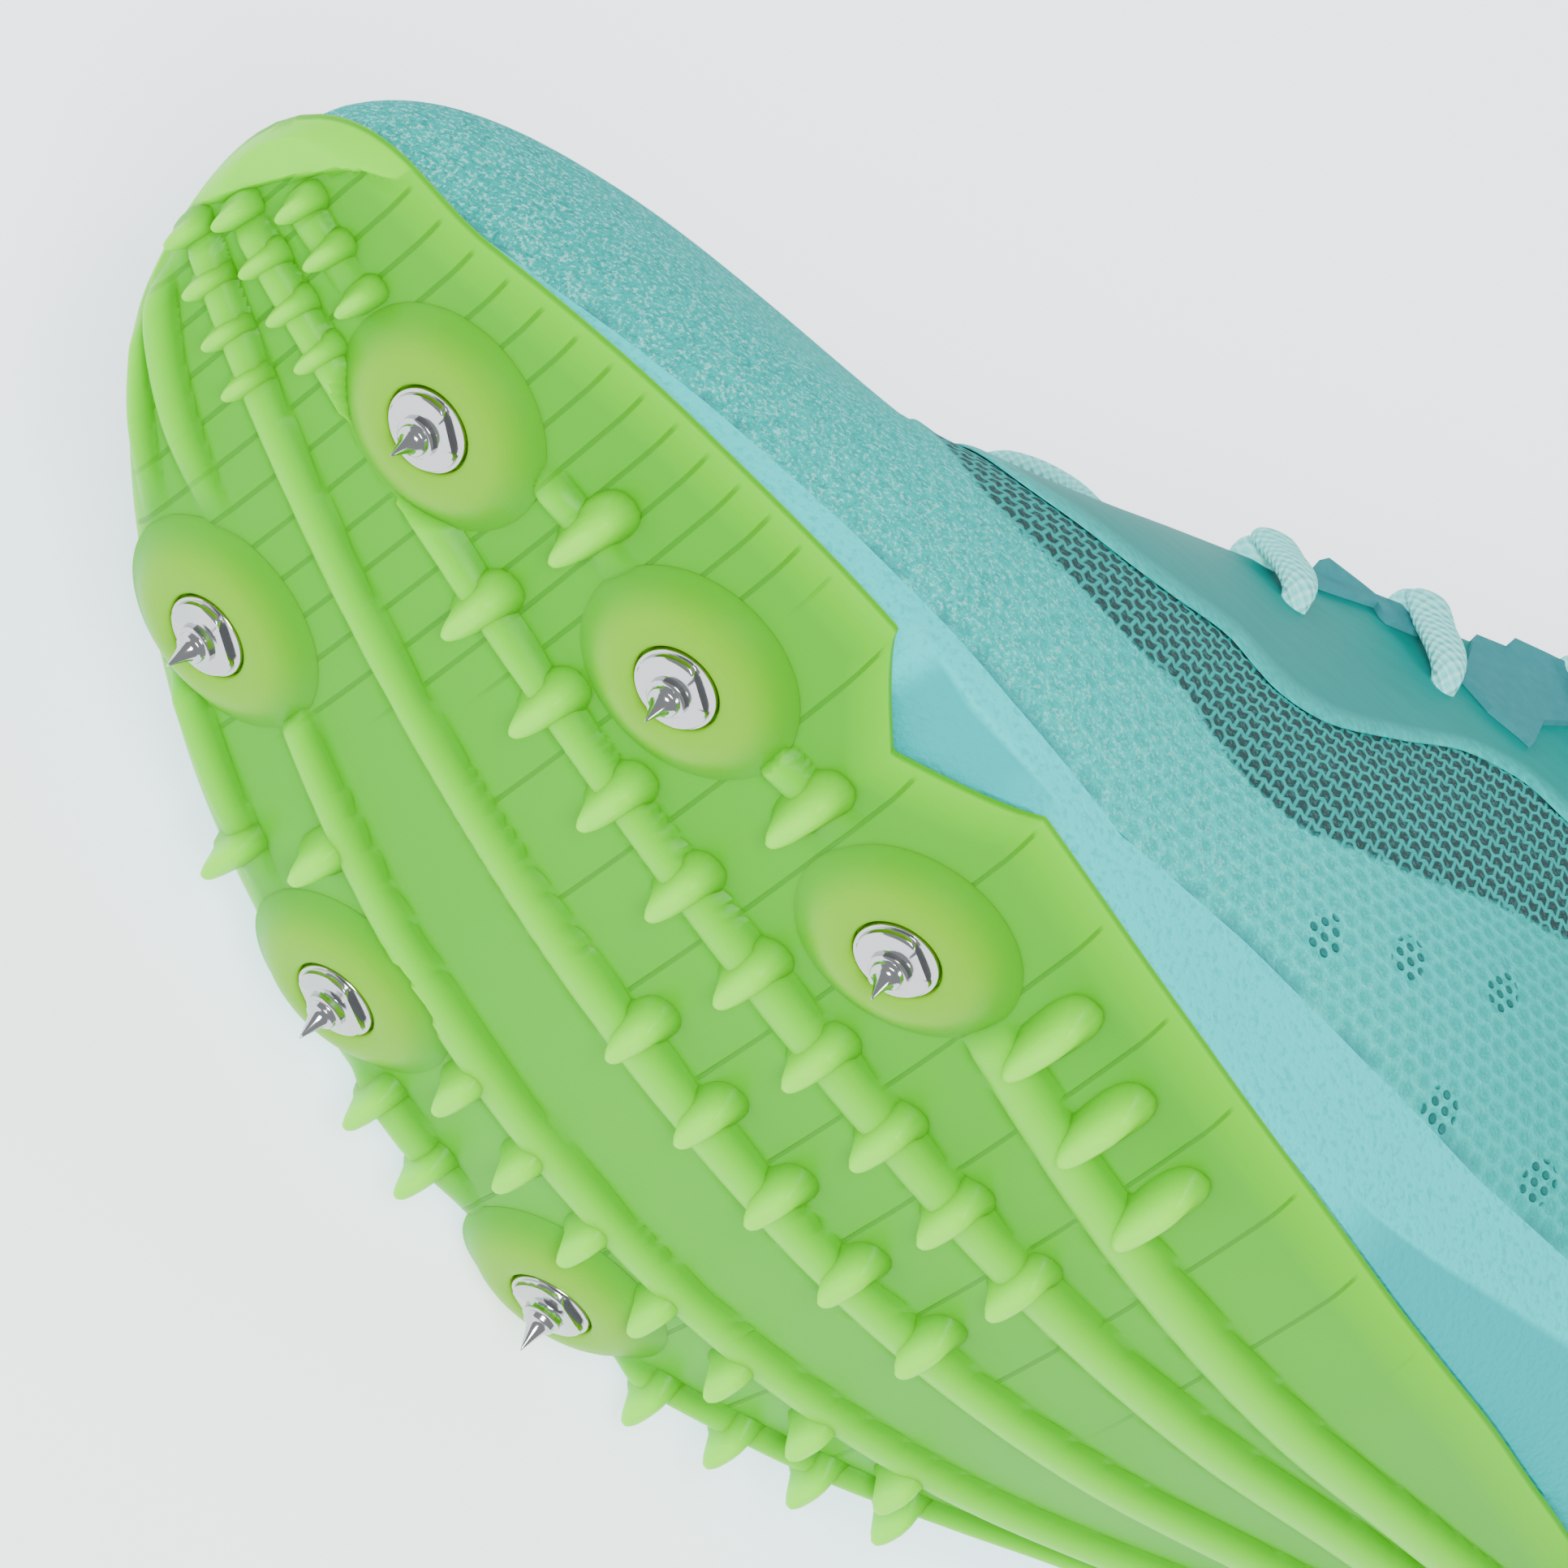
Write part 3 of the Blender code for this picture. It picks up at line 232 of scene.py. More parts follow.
def underside(s, y):
    """Points of the bare underside and their outward normals."""
    base = np.stack((s, y, ground(s / SHOE_LENGTH, y)), axis=-1)
    step = 0.5
    along = (ground((s + step) / SHOE_LENGTH, y) - ground((s - step) / SHOE_LENGTH, y)) / (2.0 * step)
    across = 2.0 * CROWN * y / BALL_HALF ** 2
    normal = np.stack((along, across, -np.ones_like(along)), axis=-1)
    return base, unit(normal)


def rib_line(name, along):
    start, end, first, middle, last = RIBS[name]
    t = (along - start) / (end - start)
    return BALL_HALF * (first * (1 - t) * (1 - 2 * t) + middle * 4 * t * (1 - t) + last * t * (2 * t - 1))


def relief(s, y):
    """How far the moulded plate stands out of its bare underside, where it is bare, and its tab."""
    along = s / SHOE_LENGTH
    base, _normal = underside(s, y)
    height = np.zeros_like(s)
    groove = np.zeros_like(s)
    near_rib = np.zeros_like(s)
    rib_half = RIB_HALF + RIB_WIDENING * ease(s, 40.0, 90.0)
    for name, (start, end, *_across) in RIBS.items():
        away = np.abs(y - rib_line(name, along))
        ends = ease(s, start * SHOE_LENGTH - 1.0, start * SHOE_LENGTH + 2.0)
        ends = ends * (1.0 - ease(s, end * SHOE_LENGTH - RIB_TAIL, end * SHOE_LENGTH))
        bar = RIB_RISE * np.clip(1.0 - (away / rib_half) ** 2, 0.0, None) ** 0.6 * ends
        height = np.maximum(height, bar)
        near_rib = np.maximum(near_rib, ease(away, rib_half + 0.8, rib_half + 0.2) * ends)
        crease = np.exp(-((away - rib_half - GROOVE_WIDE) / GROOVE_WIDE) ** 2) * ends
        groove = np.maximum(groove, GROOVE_DEEP * crease)
    boss = np.zeros_like(s)
    for _name, share, across in BOSSES:
        centre, _out = underside(np.array(share * SHOE_LENGTH), np.array(across * BALL_HALF))
        away = np.linalg.norm(base - centre, axis=-1)
        dome = BOSS_RISE * np.clip(1.0 - (away / BOSS_RADIUS) ** 2.6, 0.0, None) ** 0.8 - 0.3
        seat_floor = BOSS_RISE - SEAT_DEPTH * ease(away, SEAT_RADIUS, SEAT_RADIUS - 0.5) - 0.1
        dome = np.where(away < SEAT_RADIUS, seat_floor, dome)
        inside = ease(away, BOSS_RADIUS + 0.3, BOSS_RADIUS - 0.7)
        height = np.where(away < BOSS_RADIUS, np.maximum(dome, height * (1.0 - inside)), height)
        boss = np.maximum(boss, inside)
    tab_from = np.interp(y, *np.array(TAB_LINE).T) - s
    tab = ease(tab_from, -0.2, 0.3)
    tab_groove = GROOVE_DEEP * np.exp(-((tab_from + 0.35) / GROOVE_WIDE) ** 2)
    groove = np.maximum(groove * (1.0 - boss), tab_groove)
    height = height - groove * (height < GROOVE_BELOW) + TAB_LIP * tab
    return height, (1.0 - boss) * (1.0 - near_rib), tab


def place(points):
    """Millimetres in the shoe's own frame, to metres where the shoe lies."""
    flat = np.asarray(points, float).reshape(-1, 3) * 0.001
    flat[:, 0] *= -1.0
    matrix = np.array(LAST)
    return flat @ matrix[:3, :3].T + matrix[:3, 3]


def skin(name, points, uv=None, caps=True, **marks):
    """A grid laid through rows of points, merged where it closes; marks become point attributes."""
    rows, columns = points.shape[:2]
    bpy.ops.object.select_all(action="DESELECT")
    bpy.ops.mesh.primitive_grid_add(x_subdivisions=columns - 1, y_subdivisions=rows - 1)
    piece = bpy.context.object
    piece.name = piece.data.name = name
    mesh = piece.data
    mesh.vertices.foreach_set("co", place(points).ravel())
    for label, values in marks.items():
        layer = mesh.attributes.new(label, "FLOAT", "POINT")
        layer.data.foreach_set("value", np.asarray(values, float).ravel())
    if uv is not None:
        corners = np.zeros(len(mesh.loops), int)
        mesh.loops.foreach_get("vertex_index", corners)
        mesh.uv_layers[0].data.foreach_set("uv", uv.reshape(-1, 2)[corners].ravel())
    bpy.ops.object.mode_set(mode="EDIT")
    bpy.ops.mesh.select_all(action="SELECT")
    bpy.ops.mesh.remove_doubles(threshold=0.000002)
    if caps:
        bpy.ops.mesh.select_all(action="DESELECT")
        bpy.ops.mesh.select_non_manifold(extend=False, use_wire=False, use_multi_face=False,
                                         use_non_contiguous=False, use_verts=False)
        bpy.ops.mesh.fill()
    bpy.ops.mesh.select_all(action="SELECT")
    bpy.ops.mesh.normals_make_consistent(inside=False)
    bpy.ops.object.mode_set(mode="OBJECT")
    bpy.ops.object.shade_smooth_by_angle(angle=math.radians(40.0))
    piece.location = (0.0, 0.0, 0.0)
    return piece


def join(pieces):
    """Joins the pieces into the first of them."""
    bpy.ops.object.select_all(action="DESELECT")
    for piece in pieces:
        piece.select_set(True)
    bpy.context.view_layer.objects.active = pieces[0]
    bpy.ops.object.join()
    return pieces[0]


def finish(name, colour, rough, **sockets):
    """A material with its shader's fixed sockets set; also its nodes and the places on the object."""
    material = bpy.data.materials.new(name)
    material.use_nodes = True
    shader = material.node_tree.nodes["Principled BSDF"]
    shader.inputs["Base Color"].default_value = (*colour, 1.0)
    shader.inputs["Roughness"].default_value = rough
    for socket, value in sockets.items():
        shader.inputs[socket.replace("_", " ")].default_value = value
    coords = node(material.node_tree, "TexCoord").outputs["Object"]
    return material, material.node_tree, coords


def node(tree, kind, wires=(), **settings):
    """Adds a node; wires are (input, output or fixed value), settings are its own properties."""
    made = tree.nodes.new("ShaderNode" + kind)
    for name, value in settings.items():
        setattr(made, name, value)
    for name, source in wires:
        if isinstance(source, bpy.types.NodeSocket):
            tree.links.new(source, made.inputs[name])
        else:
            made.inputs[name].default_value = source
    return made


def sums(tree, operation, first, second=0.0, third=0.0):
    """Output of a Math node."""
    return node(tree, "Math", ((0, first), (1, second), (2, third)), operation=operation).outputs[0]


def blend_colour(tree, share, first, second):
    """Output of a Mix node between two colours."""
    first, second = ((*way, 1.0) if isinstance(way, tuple) else way for way in (first, second))
    wires = ((0, share), (6, first), (7, second))
    return node(tree, "Mix", wires, data_type="RGBA").outputs[2]


def times(tree, first, second):
    return sums(tree, "MULTIPLY", first, second)


def span(tree, first, second):
    """Length of the vector with these two parts."""
    squares = sums(tree, "ADD", times(tree, first, first), times(tree, second, second))
    return sums(tree, "SQRT", squares)


def ramp(tree, value, low, high):
    """0 at low, 1 at high."""
    return node(tree, "MapRange", (("Value", value), ("From Min", low), ("From Max", high))).outputs[0]


def noise(tree, coords, scale, detail, **more):
    wires = (("Vector", coords), ("Scale", scale), ("Detail", detail), *more.items())
    return node(tree, "TexNoise", wires).outputs["Fac"]


def mark(tree, name):
    return node(tree, "Attribute", attribute_name=name).outputs["Fac"]


def dress(piece, material, colour, height, distance, strength):
    """Wires a colour and a bump into the material, and gives the piece this material alone."""
    tree = material.node_tree
    shader = tree.nodes["Principled BSDF"]
    bump = node(tree, "Bump", (("Height", height), ("Distance", distance), ("Strength", strength)))
    tree.links.new(bump.outputs[0], shader.inputs["Normal"])
    tree.links.new(colour, shader.inputs["Base Color"])
    piece.data.materials.clear()
    piece.data.materials.append(material)


front = np.arange(ROW_FROM, 0.585 * SHOE_LENGTH, ROW_PITCH)
back = np.linspace(0.588 * SHOE_LENGTH, SHOE_LENGTH - 0.05, 62)
plate_rows = np.concatenate((front, back))
even = np.linspace(0.0, 1.0, COLUMNS)
columns = 0.75 * even + 0.25 * (0.5 - 0.5 * np.cos(math.pi * even))
outer, inner = plate_edges(plate_rows / SHOE_LENGTH)
width = (inner - outer)[:, None]
s_grid = np.repeat(plate_rows[:, None], len(columns), axis=1)
y_grid = outer[:, None] + width * columns[None, :]
base, normal = underside(s_grid, y_grid)
out_by, free_mask, tab_mask = relief(s_grid, y_grid)
band = np.minimum(EDGE_BAND, width * 0.2)
from_edge = np.minimum(columns, 1.0 - columns)[None, :] * width
rim = np.clip(1.0 - from_edge / band, 0.0, None)
below = base + normal * (out_by * (1.0 - rim ** 3))[..., None]
below[..., 2] += EDGE_LIFT * rim ** 2

top_columns = np.array((1.0, 1.0, 0.99, 0.7, 0.5, 0.3, 0.01, 0.0, 0.0))
top_heights = np.array((0.80, 0.93, 1.0, 1.0, 1.0, 1.0, 1.0, 0.93, 0.80))
s_top = np.repeat(plate_rows[:, None], len(top_columns), axis=1)
y_top = outer[:, None] + width * top_columns[None, :]
above = np.stack((s_top, y_top, ground(s_top / SHOE_LENGTH, y_top) + PLATE * top_heights), axis=-1)
section = np.concatenate((below, above, below[:, :1]), axis=1)
turned = s_grid * math.cos(SLANT) + y_grid * math.sin(SLANT)
toe_zone = 1.0 - ease(s_grid, *CUT_ZONES[:2])
ball_zone = ease(s_grid, *CUT_ZONES[2:4]) * (1.0 - ease(s_grid, *CUT_ZONES[4:]))
shares = s_grid / SHOE_LENGTH
channel = (y_grid > rib_line("fourth", shares)) & (y_grid < rib_line("third", shares))
outer_front = (y_grid < rib_line("third", shares)) & (s_grid < CUTS_FROM)
ball_zone = ball_zone * (1.0 - (channel | outer_front))
inside_rim = ease(from_edge, 0.5, 1.1)


def plate_mark(values):
    """A mark of the moulded face, nothing on the glued one."""
    return np.concatenate((values, np.zeros(above.shape[:2]), values[:, :1]), axis=1)


marks = {"stand": out_by, "tab": tab_mask, "turned": turned, "rim": rim,
         "toe_cuts": toe_zone * free_mask * inside_rim * (1.0 - tab_mask),
         "ball_cuts": ball_zone * free_mask * inside_rim}
plate = skin("plate", section, **{name: plate_mark(values) for name, values in marks.items()})

FIN_LAYERS = (
    # height share, half length, half thickness, shift towards the outer end
    (-0.36, 0.56, 0.80, 0.00),
    (0.02, 0.52, 0.66, 0.00),
    (0.18, 0.48, 0.52, 0.00),
    (0.45, 0.46, 0.42, -0.02),
    (0.72, 0.43, 0.33, -0.04),
    (0.90, 0.38, 0.24, -0.06),
    (0.98, 0.31, 0.14, -0.07),
    (1.00, 0.20, 0.05, -0.08),
    (1.00, 0.00, 0.00, -0.08),
)


def fin(along, across, long, thick, high, name):
    """One fin: a rounded blade across the shoe, its two flanks leaning to a narrow crest."""
    direction = np.array((-math.sin(SLANT), math.cos(SLANT), 0.0))
    beside = np.array((math.cos(SLANT), math.sin(SLANT), 0.0))
    foot, out = underside(np.array(along * SHOE_LENGTH), np.array(float(across)))
    angles = np.linspace(0.0, 2.0 * math.pi, 21)
    round_it = np.abs(np.cos(angles)) ** 0.7 * np.sign(np.cos(angles))
    across_it = np.abs(np.sin(angles)) ** 0.8 * np.sign(np.sin(angles))
    rings = [foot + out * share * high + np.outer(round_it * reach + shift, direction) * long
             + np.outer(across_it * flank, beside) * thick for share, reach, flank, shift in FIN_LAYERS]
    piece = skin(name, np.array(rings), caps=False)
    layer = piece.data.attributes.new("stand", "FLOAT", "POINT")
    places = np.zeros(len(piece.data.vertices) * 3)
    piece.data.vertices.foreach_get("co", places)
    root = place(foot)[0]
    tip = place(foot + out * high)[0] - root
    rise = (places.reshape(-1, 3) - root) @ tip / (tip @ tip)
    layer.data.foreach_set("value", np.clip(rise, 0.0, 1.0) * high)
    return piece


DOME = (
    # radius, height over the bare plate
    (3.90, 1.20), (3.90, 2.05), (3.98, 2.20), (4.15, 2.30), (4.45, 2.36), (4.90, 2.38), (5.50, 2.33),
    (6.20, 2.18), (6.90, 1.92), (7.60, 1.54), (8.20, 1.12), (8.70, 0.76), (9.15, 0.46), (9.45, 0.28),
    (9.70, 0.14), (9.95, 0.03), (10.05, -0.30),
)


def pin_axes(share, across):
    """Foot of a pin on the bare plate, the way it stands and two ways square to that."""
    centre, out = underside(np.array(share * SHOE_LENGTH), np.array(across * BALL_HALF))
    one_way = unit(np.cross(out, (0.3, 1.0, 0.0)))
    return centre, out, one_way, np.cross(out, one_way)


def dome(share, across, name):
    """The smooth round of one boss, from the lip round the pin's flange out to its foot."""
    centre, _out, one_way, other_way = pin_axes(share, across)
    angles = np.linspace(0.0, 2.0 * math.pi, 97)
    rings, inward = [], []
    for radius, height in DOME:
        # The boss mark grades painted light: full on the dome's top, none at its foot
        inward.append(np.full(len(angles), float(ease(radius, 9.6, 6.0))))
        spots = centre + radius * (np.outer(np.cos(angles), one_way) + np.outer(np.sin(angles), other_way))
        foot, ways = underside(spots[:, 0], spots[:, 1])
        rings.append(foot + ways * height)
    return skin(name, np.array(rings), caps=False, boss=np.array(inward))


fins = [dome(share, across, "dome_" + name) for name, share, across in BOSSES]
for rib_name, first, count, pitch, shift, long, thick, high in FINS:
    for i in range(count):
        along = first + i * pitch
        across = float(rib_line(rib_name, along)) + shift * BALL_HALF
        fins.append(fin(along, across, long, thick, high, "fin_" + str(len(fins))))

join([plate] + fins)

material, tree, coords = finish(
    "clear_lime_plate", (0.05, 0.44, 0.005), 0.45, Coat_Weight=0.06, Coat_Roughness=0.2,
    Specular_IOR_Level=0.08, Subsurface_Weight=0.3, Subsurface_Scale=0.003,
    Subsurface_Radius=(0.6, 1.0, 0.2))


def lines(tree, along, pitch, half):
    """1 on thin lines at every pitch, 0 between them, soft at their edges."""
    share = sums(tree, "FRACT", sums(tree, "DIVIDE", along, pitch))
    away = times(tree, sums(tree, "ABSOLUTE", sums(tree, "SUBTRACT", share, 0.5)), pitch)
    return ramp(tree, away, 2.0 * half, half)


turned = mark(tree, "turned")
cuts = sums(tree, "MAXIMUM", times(tree, lines(tree, turned, TOE_CUTS, CUT_HALF), mark(tree, "toe_cuts")),
            times(tree, lines(tree, turned, BALL_CUTS, CUT_HALF), mark(tree, "ball_cuts")))
# Painted highlight along the plate's rim and over the toe tab
edge = sums(tree, "MAXIMUM", mark(tree, "tab"), times(tree, mark(tree, "rim"), 0.6))
body = blend_colour(tree, noise(tree, coords, 25.0, 2.0), PLATE_DARK, PLATE_LIGHT)
# Painted light on the domes' tops, and a painted highlight that grows the higher the relief stands; the cuts
# are dark lines
for share, strong, tint in (
        (mark(tree, "boss"), 0.8, BOSS_PAINTED_LIGHT), (ramp(tree, mark(tree, "stand"), 0.2, 2.6), 0.9, PAINTED_HIGHLIGHT),
        (edge, 0.7, PAINTED_HIGHLIGHT), (cuts, 0.6, CUT_TINT)):
    body = blend_colour(tree, times(tree, share, strong), body, tint)
grain = times(tree, noise(tree, coords, 2600.0, 2.0), 0.2)
dress(plate, material, body, sums(tree, "SUBTRACT", grain, cuts), 0.00015, 0.6)
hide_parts("outsole_plate")
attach(plate, "root")


# ---- The pins ----
# Six turned steel pins screwed into the bosses: a flange with two flats for the key, a stepped
# shoulder and a needle point, all polished.
FLATS_HALF, FLATS_FROM, FLATS_TO = 2.7, 0.65, 1.33
PIN_LIFT = 0.35           # the flange stands this far over the bottom of its seat
PIN_PROFILE = (
    # radius, height over the flange's foot
    (0.0, 0.0), (3.60, 0.0), (3.75, 0.12), (3.75, 0.50), (3.68, 0.60), (3.42, 0.64), (3.36, 0.72),
    (3.36, 1.12), (3.22, 1.26), (3.0, 1.30), (2.05, 1.36), (1.82, 1.46), (1.76, 1.60), (1.76, 2.10),
    (1.66, 2.20), (1.42, 2.24), (1.36, 2.32), (1.36, 2.62), (1.26, 2.74), (1.05, 2.80), (0.86, 3.05),
    (0.60, 3.70), (0.36, 4.40), (0.16, 5.05), (0.05, 5.38), (0.0, 5.42),
)
steel, tree, coords = finish("polished_steel", (0.44, 0.45, 0.46), 0.10, Metallic=1.0)
smear = noise(tree, coords, 900.0, 3.0)
rough = node(tree, "MapRange", (("Value", smear), ("To Min", 0.06), ("To Max", 0.18))).outputs[0]
tree.links.new(rough, tree.nodes["Principled BSDF"].inputs["Roughness"])

angles = np.linspace(0.0, 2.0 * math.pi, 65)
for name, share, across in BOSSES:
    centre, out, flat_way, other_way = pin_axes(share, across)
    rings = []
    for radius, height in PIN_PROFILE:
        u, v = radius * np.cos(angles), radius * np.sin(angles)
        if FLATS_FROM < height < FLATS_TO:
            v = np.clip(v, -FLATS_HALF, FLATS_HALF)
        up = BOSS_RISE - SEAT_DEPTH + PIN_LIFT + height
        rings.append(centre + out * up + np.outer(u, flat_way) + np.outer(v, other_way))
    pin = skin("pin_" + name, np.array(rings), caps=False)
    pin.data.materials.clear()
    pin.data.materials.append(steel)
    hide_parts("spike_" + name)
    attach(pin, "root")


# ---- The foam midsole ----
# One piece of fine-grained foam, pressed in a mould: thin at the toe, deep at the heel, its side
# broken by one long crease.
FOAM_DARK, FOAM_LIGHT = (0.004, 0.66, 0.66), (0.012, 0.73, 0.74)
# The first of these darkens the lower facet as painted shade; the second darkens the pores
FOAM_PAINTED_SHADE, FOAM_PIT = (0.0, 0.36, 0.38), (0.0, 0.45, 0.47)
wall_shares = (1.0 - np.cos(math.pi * np.arange(27) / 26.0)) / 2.0
wall_low, wall_high = TOE_SETBACK / SHOE_LENGTH, 1.0 - FOAM_SETBACK / SHOE_LENGTH
feather_shares = wall_low + (wall_high - wall_low) * wall_shares
foam_side = np.max(np.abs(foam_edges(feather_shares)), axis=0)
feather_heights = (ground(feather_shares, foam_side) + PLATE + GAP
                   + BALL_FOAM * curve(PROFILE, 4, feather_shares)
                   + HEEL_FOAM * curve(PROFILE, 5, feather_shares))


def feather(along):
    """Height of the line where the upper meets the foam."""
    return np.interp(along, feather_shares, feather_heights)


foam_rows = np.concatenate((
    np.linspace(TOE_SETBACK + 0.4, 20.0, 40), np.linspace(20.5, 170.0, 280),
    np.linspace(171.5, SHOE_LENGTH - FOAM_SETBACK - 0.4, 90)))
along = foam_rows / SHOE_LENGTH
outer_plate, inner_plate = plate_edges(along)
outer_foam, inner_foam = foam_edges(along)
low_outer = np.maximum(outer_plate, outer_foam) + 0.2
low_inner = np.minimum(inner_plate, inner_foam) - 0.2
narrow = low_inner - low_outer < 0.5
low_outer = np.where(narrow, outer_foam * 0.9, low_outer)
low_inner = np.where(narrow, inner_foam * 0.9, low_inner)
crease = curve(PROFILE, 6, along)
top = feather(along)
bottom = PLATE + GAP
ring = []
for y in (low_outer + (low_inner - low_outer) * t for t in np.linspace(0.0, 1.0, 10)):
    ring.append(np.stack((foam_rows, y, ground(along, y) + bottom), axis=-1))


def foam_wall(low_y, foot_z, edge_y):
    """Side of the foam: a leaning facet up to the crease, then an upright one with a soft top."""
    crease_z = (1.0 - crease) * foot_z + crease * top
    crease_y = low_y + (edge_y - low_y) * 0.97
    low, fold, edge = (np.stack((foam_rows, y, z), axis=-1)
                       for y, z in ((low_y, foot_z), (crease_y, crease_z), (edge_y, top)))
    return ([low + (fold - low) * t for t in (0.12, 0.35, 0.65, 0.88, 0.97)]
            + [fold + (edge - fold) * t for t in (0.05, 0.2, 0.5, 0.8, 0.95, 1.0)])


inner_side = foam_wall(low_inner, ring[-1][:, 2], inner_foam)
outer_side = foam_wall(low_outer, ring[0][:, 2], outer_foam)
lid = [np.stack((foam_rows, outer_foam + (inner_foam - outer_foam) * t, top), axis=-1)
       for t in (0.9, 0.5, 0.1)]
foam = np.stack(ring + inner_side + lid + outer_side[::-1] + ring[:1], axis=1)
# Painted shade: the lower facet is tinted darker where it is cut back, beside the notch and along the arch
lower = np.zeros(foam.shape[:2])
by_notch = ease(foam_rows, 55.0, 58.0) * (1.0 - ease(foam_rows, 66.0, 74.0))
by_arch = ease(foam_rows, 112.0, 124.0)
lower[:, 9:14] = np.maximum(by_notch, by_arch)[:, None]
midsole = skin("foam_midsole", foam, facet=lower)
material, tree, coords = finish("teal_foam", (0.02, 0.55, 0.56), 0.75, Specular_IOR_Level=0.1)
pores = noise(tree, coords, 1500.0, 4.0)
tone = blend_colour(tree, noise(tree, coords, 60.0, 3.0), FOAM_DARK, FOAM_LIGHT)
# Painted shade on the lower facet
tone = blend_colour(tree, times(tree, mark(tree, "facet"), 0.75), tone, FOAM_PAINTED_SHADE)
tone = blend_colour(tree, times(tree, ramp(tree, pores, 0.48, 0.34), 0.5), tone, FOAM_PIT)
dress(midsole, material, tone, pores, 0.00035, 0.7)
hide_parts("midsole")
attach(midsole, "root")


# ---- The upper ----
# One knitted shell with a thin lining: fleecy round the toe, a honeycomb knit along the side, and
# an open mesh stripe under the lacing.  It is glued to the foam at its feather line.
INSTEP_HEIGHT = 100.0
KNIT_DARK, KNIT_LIGHT = (0.0, 0.43, 0.39), (0.0, 0.50, 0.455)
KNIT_LOOP, KNIT_FLECK = (0.02, 0.86, 0.80), (0.38, 0.98, 0.94)
KNIT_DEEP, KNIT_BACK, LINING = (0.0, 0.30, 0.28), (0.0, 0.29, 0.26), (0.02, 0.30, 0.30)
NET_STRAND, NET_HOLE, NET_FLECK = (0.02, 0.37, 0.34), (0.03, 0.065, 0.065), (0.10, 0.45, 0.43)
PINHOLE = (0.02, 0.07, 0.07)
UP = np.array((0.0, 0.0, 1.0))
UPPER_WALL = 1.8
THROAT_CENTRE, THROAT_TURN = 0.08, 0.57
WALLS = (
    # turn, top, half, rise, stand, lean, reach, drop, swell
    (0.00, 0.246, 0.00, 0.539, 0.53, 0.00, 0.51, 0.34, 0.00),
    (0.10, 0.248, 0.10, 0.541, 0.53, 0.02, 0.51, 0.34, 0.00),
    (0.20, 0.260, 0.20, 0.562, 0.41, 0.02, 0.31, 0.42, 0.01),
    (0.30, 0.309, 0.26, 0.634, 0.35, 0.04, 0.38, 0.26, 0.02),
    (0.40, 0.400, 0.31, 0.778, 0.34, 0.03, 0.34, 0.32, 0.01),
    (0.50, 0.516, 0.40, 0.935, 0.36, 0.04, 0.35, 0.31, 0.01),
    (0.55, 0.579, 0.49, 0.980, 0.38, 0.06, 0.38, 0.30, 0.03),
    (0.60, 0.650, 0.61, 0.900, 0.38, 0.07, 0.30, 0.30, 0.05),
    (0.67, 0.744, 0.68, 0.800, 0.36, 0.07, 0.10, 0.32, 0.05),
    (0.75, 0.842, 0.64, 0.800, 0.34, 0.07, 0.00, 0.34, 0.05),
    (0.84, 0.912, 0.47, 0.870, 0.32, 0.07, 0.00, 0.36, 0.03),
    (0.92, 0.954, 0.23, 0.925, 0.30, 0.07, 0.00, 0.38, 0.02),
    (1.00, 0.968, 0.00, 0.940, 0.30, 0.07, 0.00, 0.38, 0.01),
)


def wall_foot(turn, side):
    share = wall_low + (wall_high - wall_low) * (1.0 - np.cos(math.pi * turn)) / 2.0
    low, high = foam_edges(share)
    across = np.where(side > 0, high, low)
    ends = (turn <= 0.0) | (turn >= 1.0)
    across = np.where(ends, BALL_HALF * curve(OUTLINE, 2, share), across)
    return np.stack((share * SHOE_LENGTH, across, feather(share) + GAP), axis=-1)


def wall(laps, ups):
    """Outer face of the upper.  laps run once round from the toe (heel 0.5); ups: foot 0, top 1."""
    laps = np.asarray(laps, float) % 1.0
    side = np.where(laps <= 0.5, 1.0, -1.0)
    turn = 2.0 * np.minimum(laps, 1.0 - laps)
    foot = wall_foot(turn, side)
    run = (wall_foot(np.minimum(turn + 0.02, 1.0), side)
           - wall_foot(np.maximum(turn - 0.02, 0.0), side))
    out = np.stack((-run[:, 1] * side, run[:, 0] * side, np.zeros(len(side))), axis=-1)
    out[turn <= 0.0] = (-1.0, 0.0, 0.0)
    out[turn >= 1.0] = (1.0, 0.0, 0.0)
    out /= np.maximum(np.linalg.norm(out, axis=-1, keepdims=True), 1e-9)
    top_share, half, rise, stand, lean, reach, drop, swell = (
        curve(WALLS, index, turn) for index in range(1, 9))
    middle = THROAT_CENTRE * np.maximum(1.0 - turn / THROAT_TURN, 0.0)
    top = np.stack((top_share * SHOE_LENGTH, (middle + side * half) * BALL_HALF,
                    rise * INSTEP_HEIGHT), axis=-1)
    height = (top - foot)[:, 2:3]
    level = (foot - top) * (1.0, 1.0, 0.0)
    low = foot + UP * stand[:, None] * height + out * lean[:, None] * BALL_HALF
    high = top + level * reach[:, None] - UP * drop[:, None] * height
    high = high + out * swell[:, None] * BALL_HALF
    u = np.asarray(ups, float)[None, :, None]
    d = 1.0 - u
    foot, low, high, top = (part[:, None, :] for part in (foot, low, high, top))
    return d ** 3 * foot + 3.0 * d * d * u * low + 3.0 * d * u * u * high + u ** 3 * top


def wall_normals(laps, ups):
    """Outward normals of the wall."""
    step = 0.004
    laps, ups = np.asarray(laps, float), np.asarray(ups, float)
    round_it = wall(laps + step, ups) - wall(laps - step, ups)
    low, high = np.maximum(ups - step, 0.0), np.minimum(ups + step, 1.0)
    out = unit(np.cross(round_it, wall(laps, high) - wall(laps, low)))
    middle = np.array((0.55 * SHOE_LENGTH, 0.0, 0.4 * INSTEP_HEIGHT))
    away = np.sum(out * (wall(laps, ups) - middle), axis=-1, keepdims=True)
    return np.where(away < 0.0, -out, out)


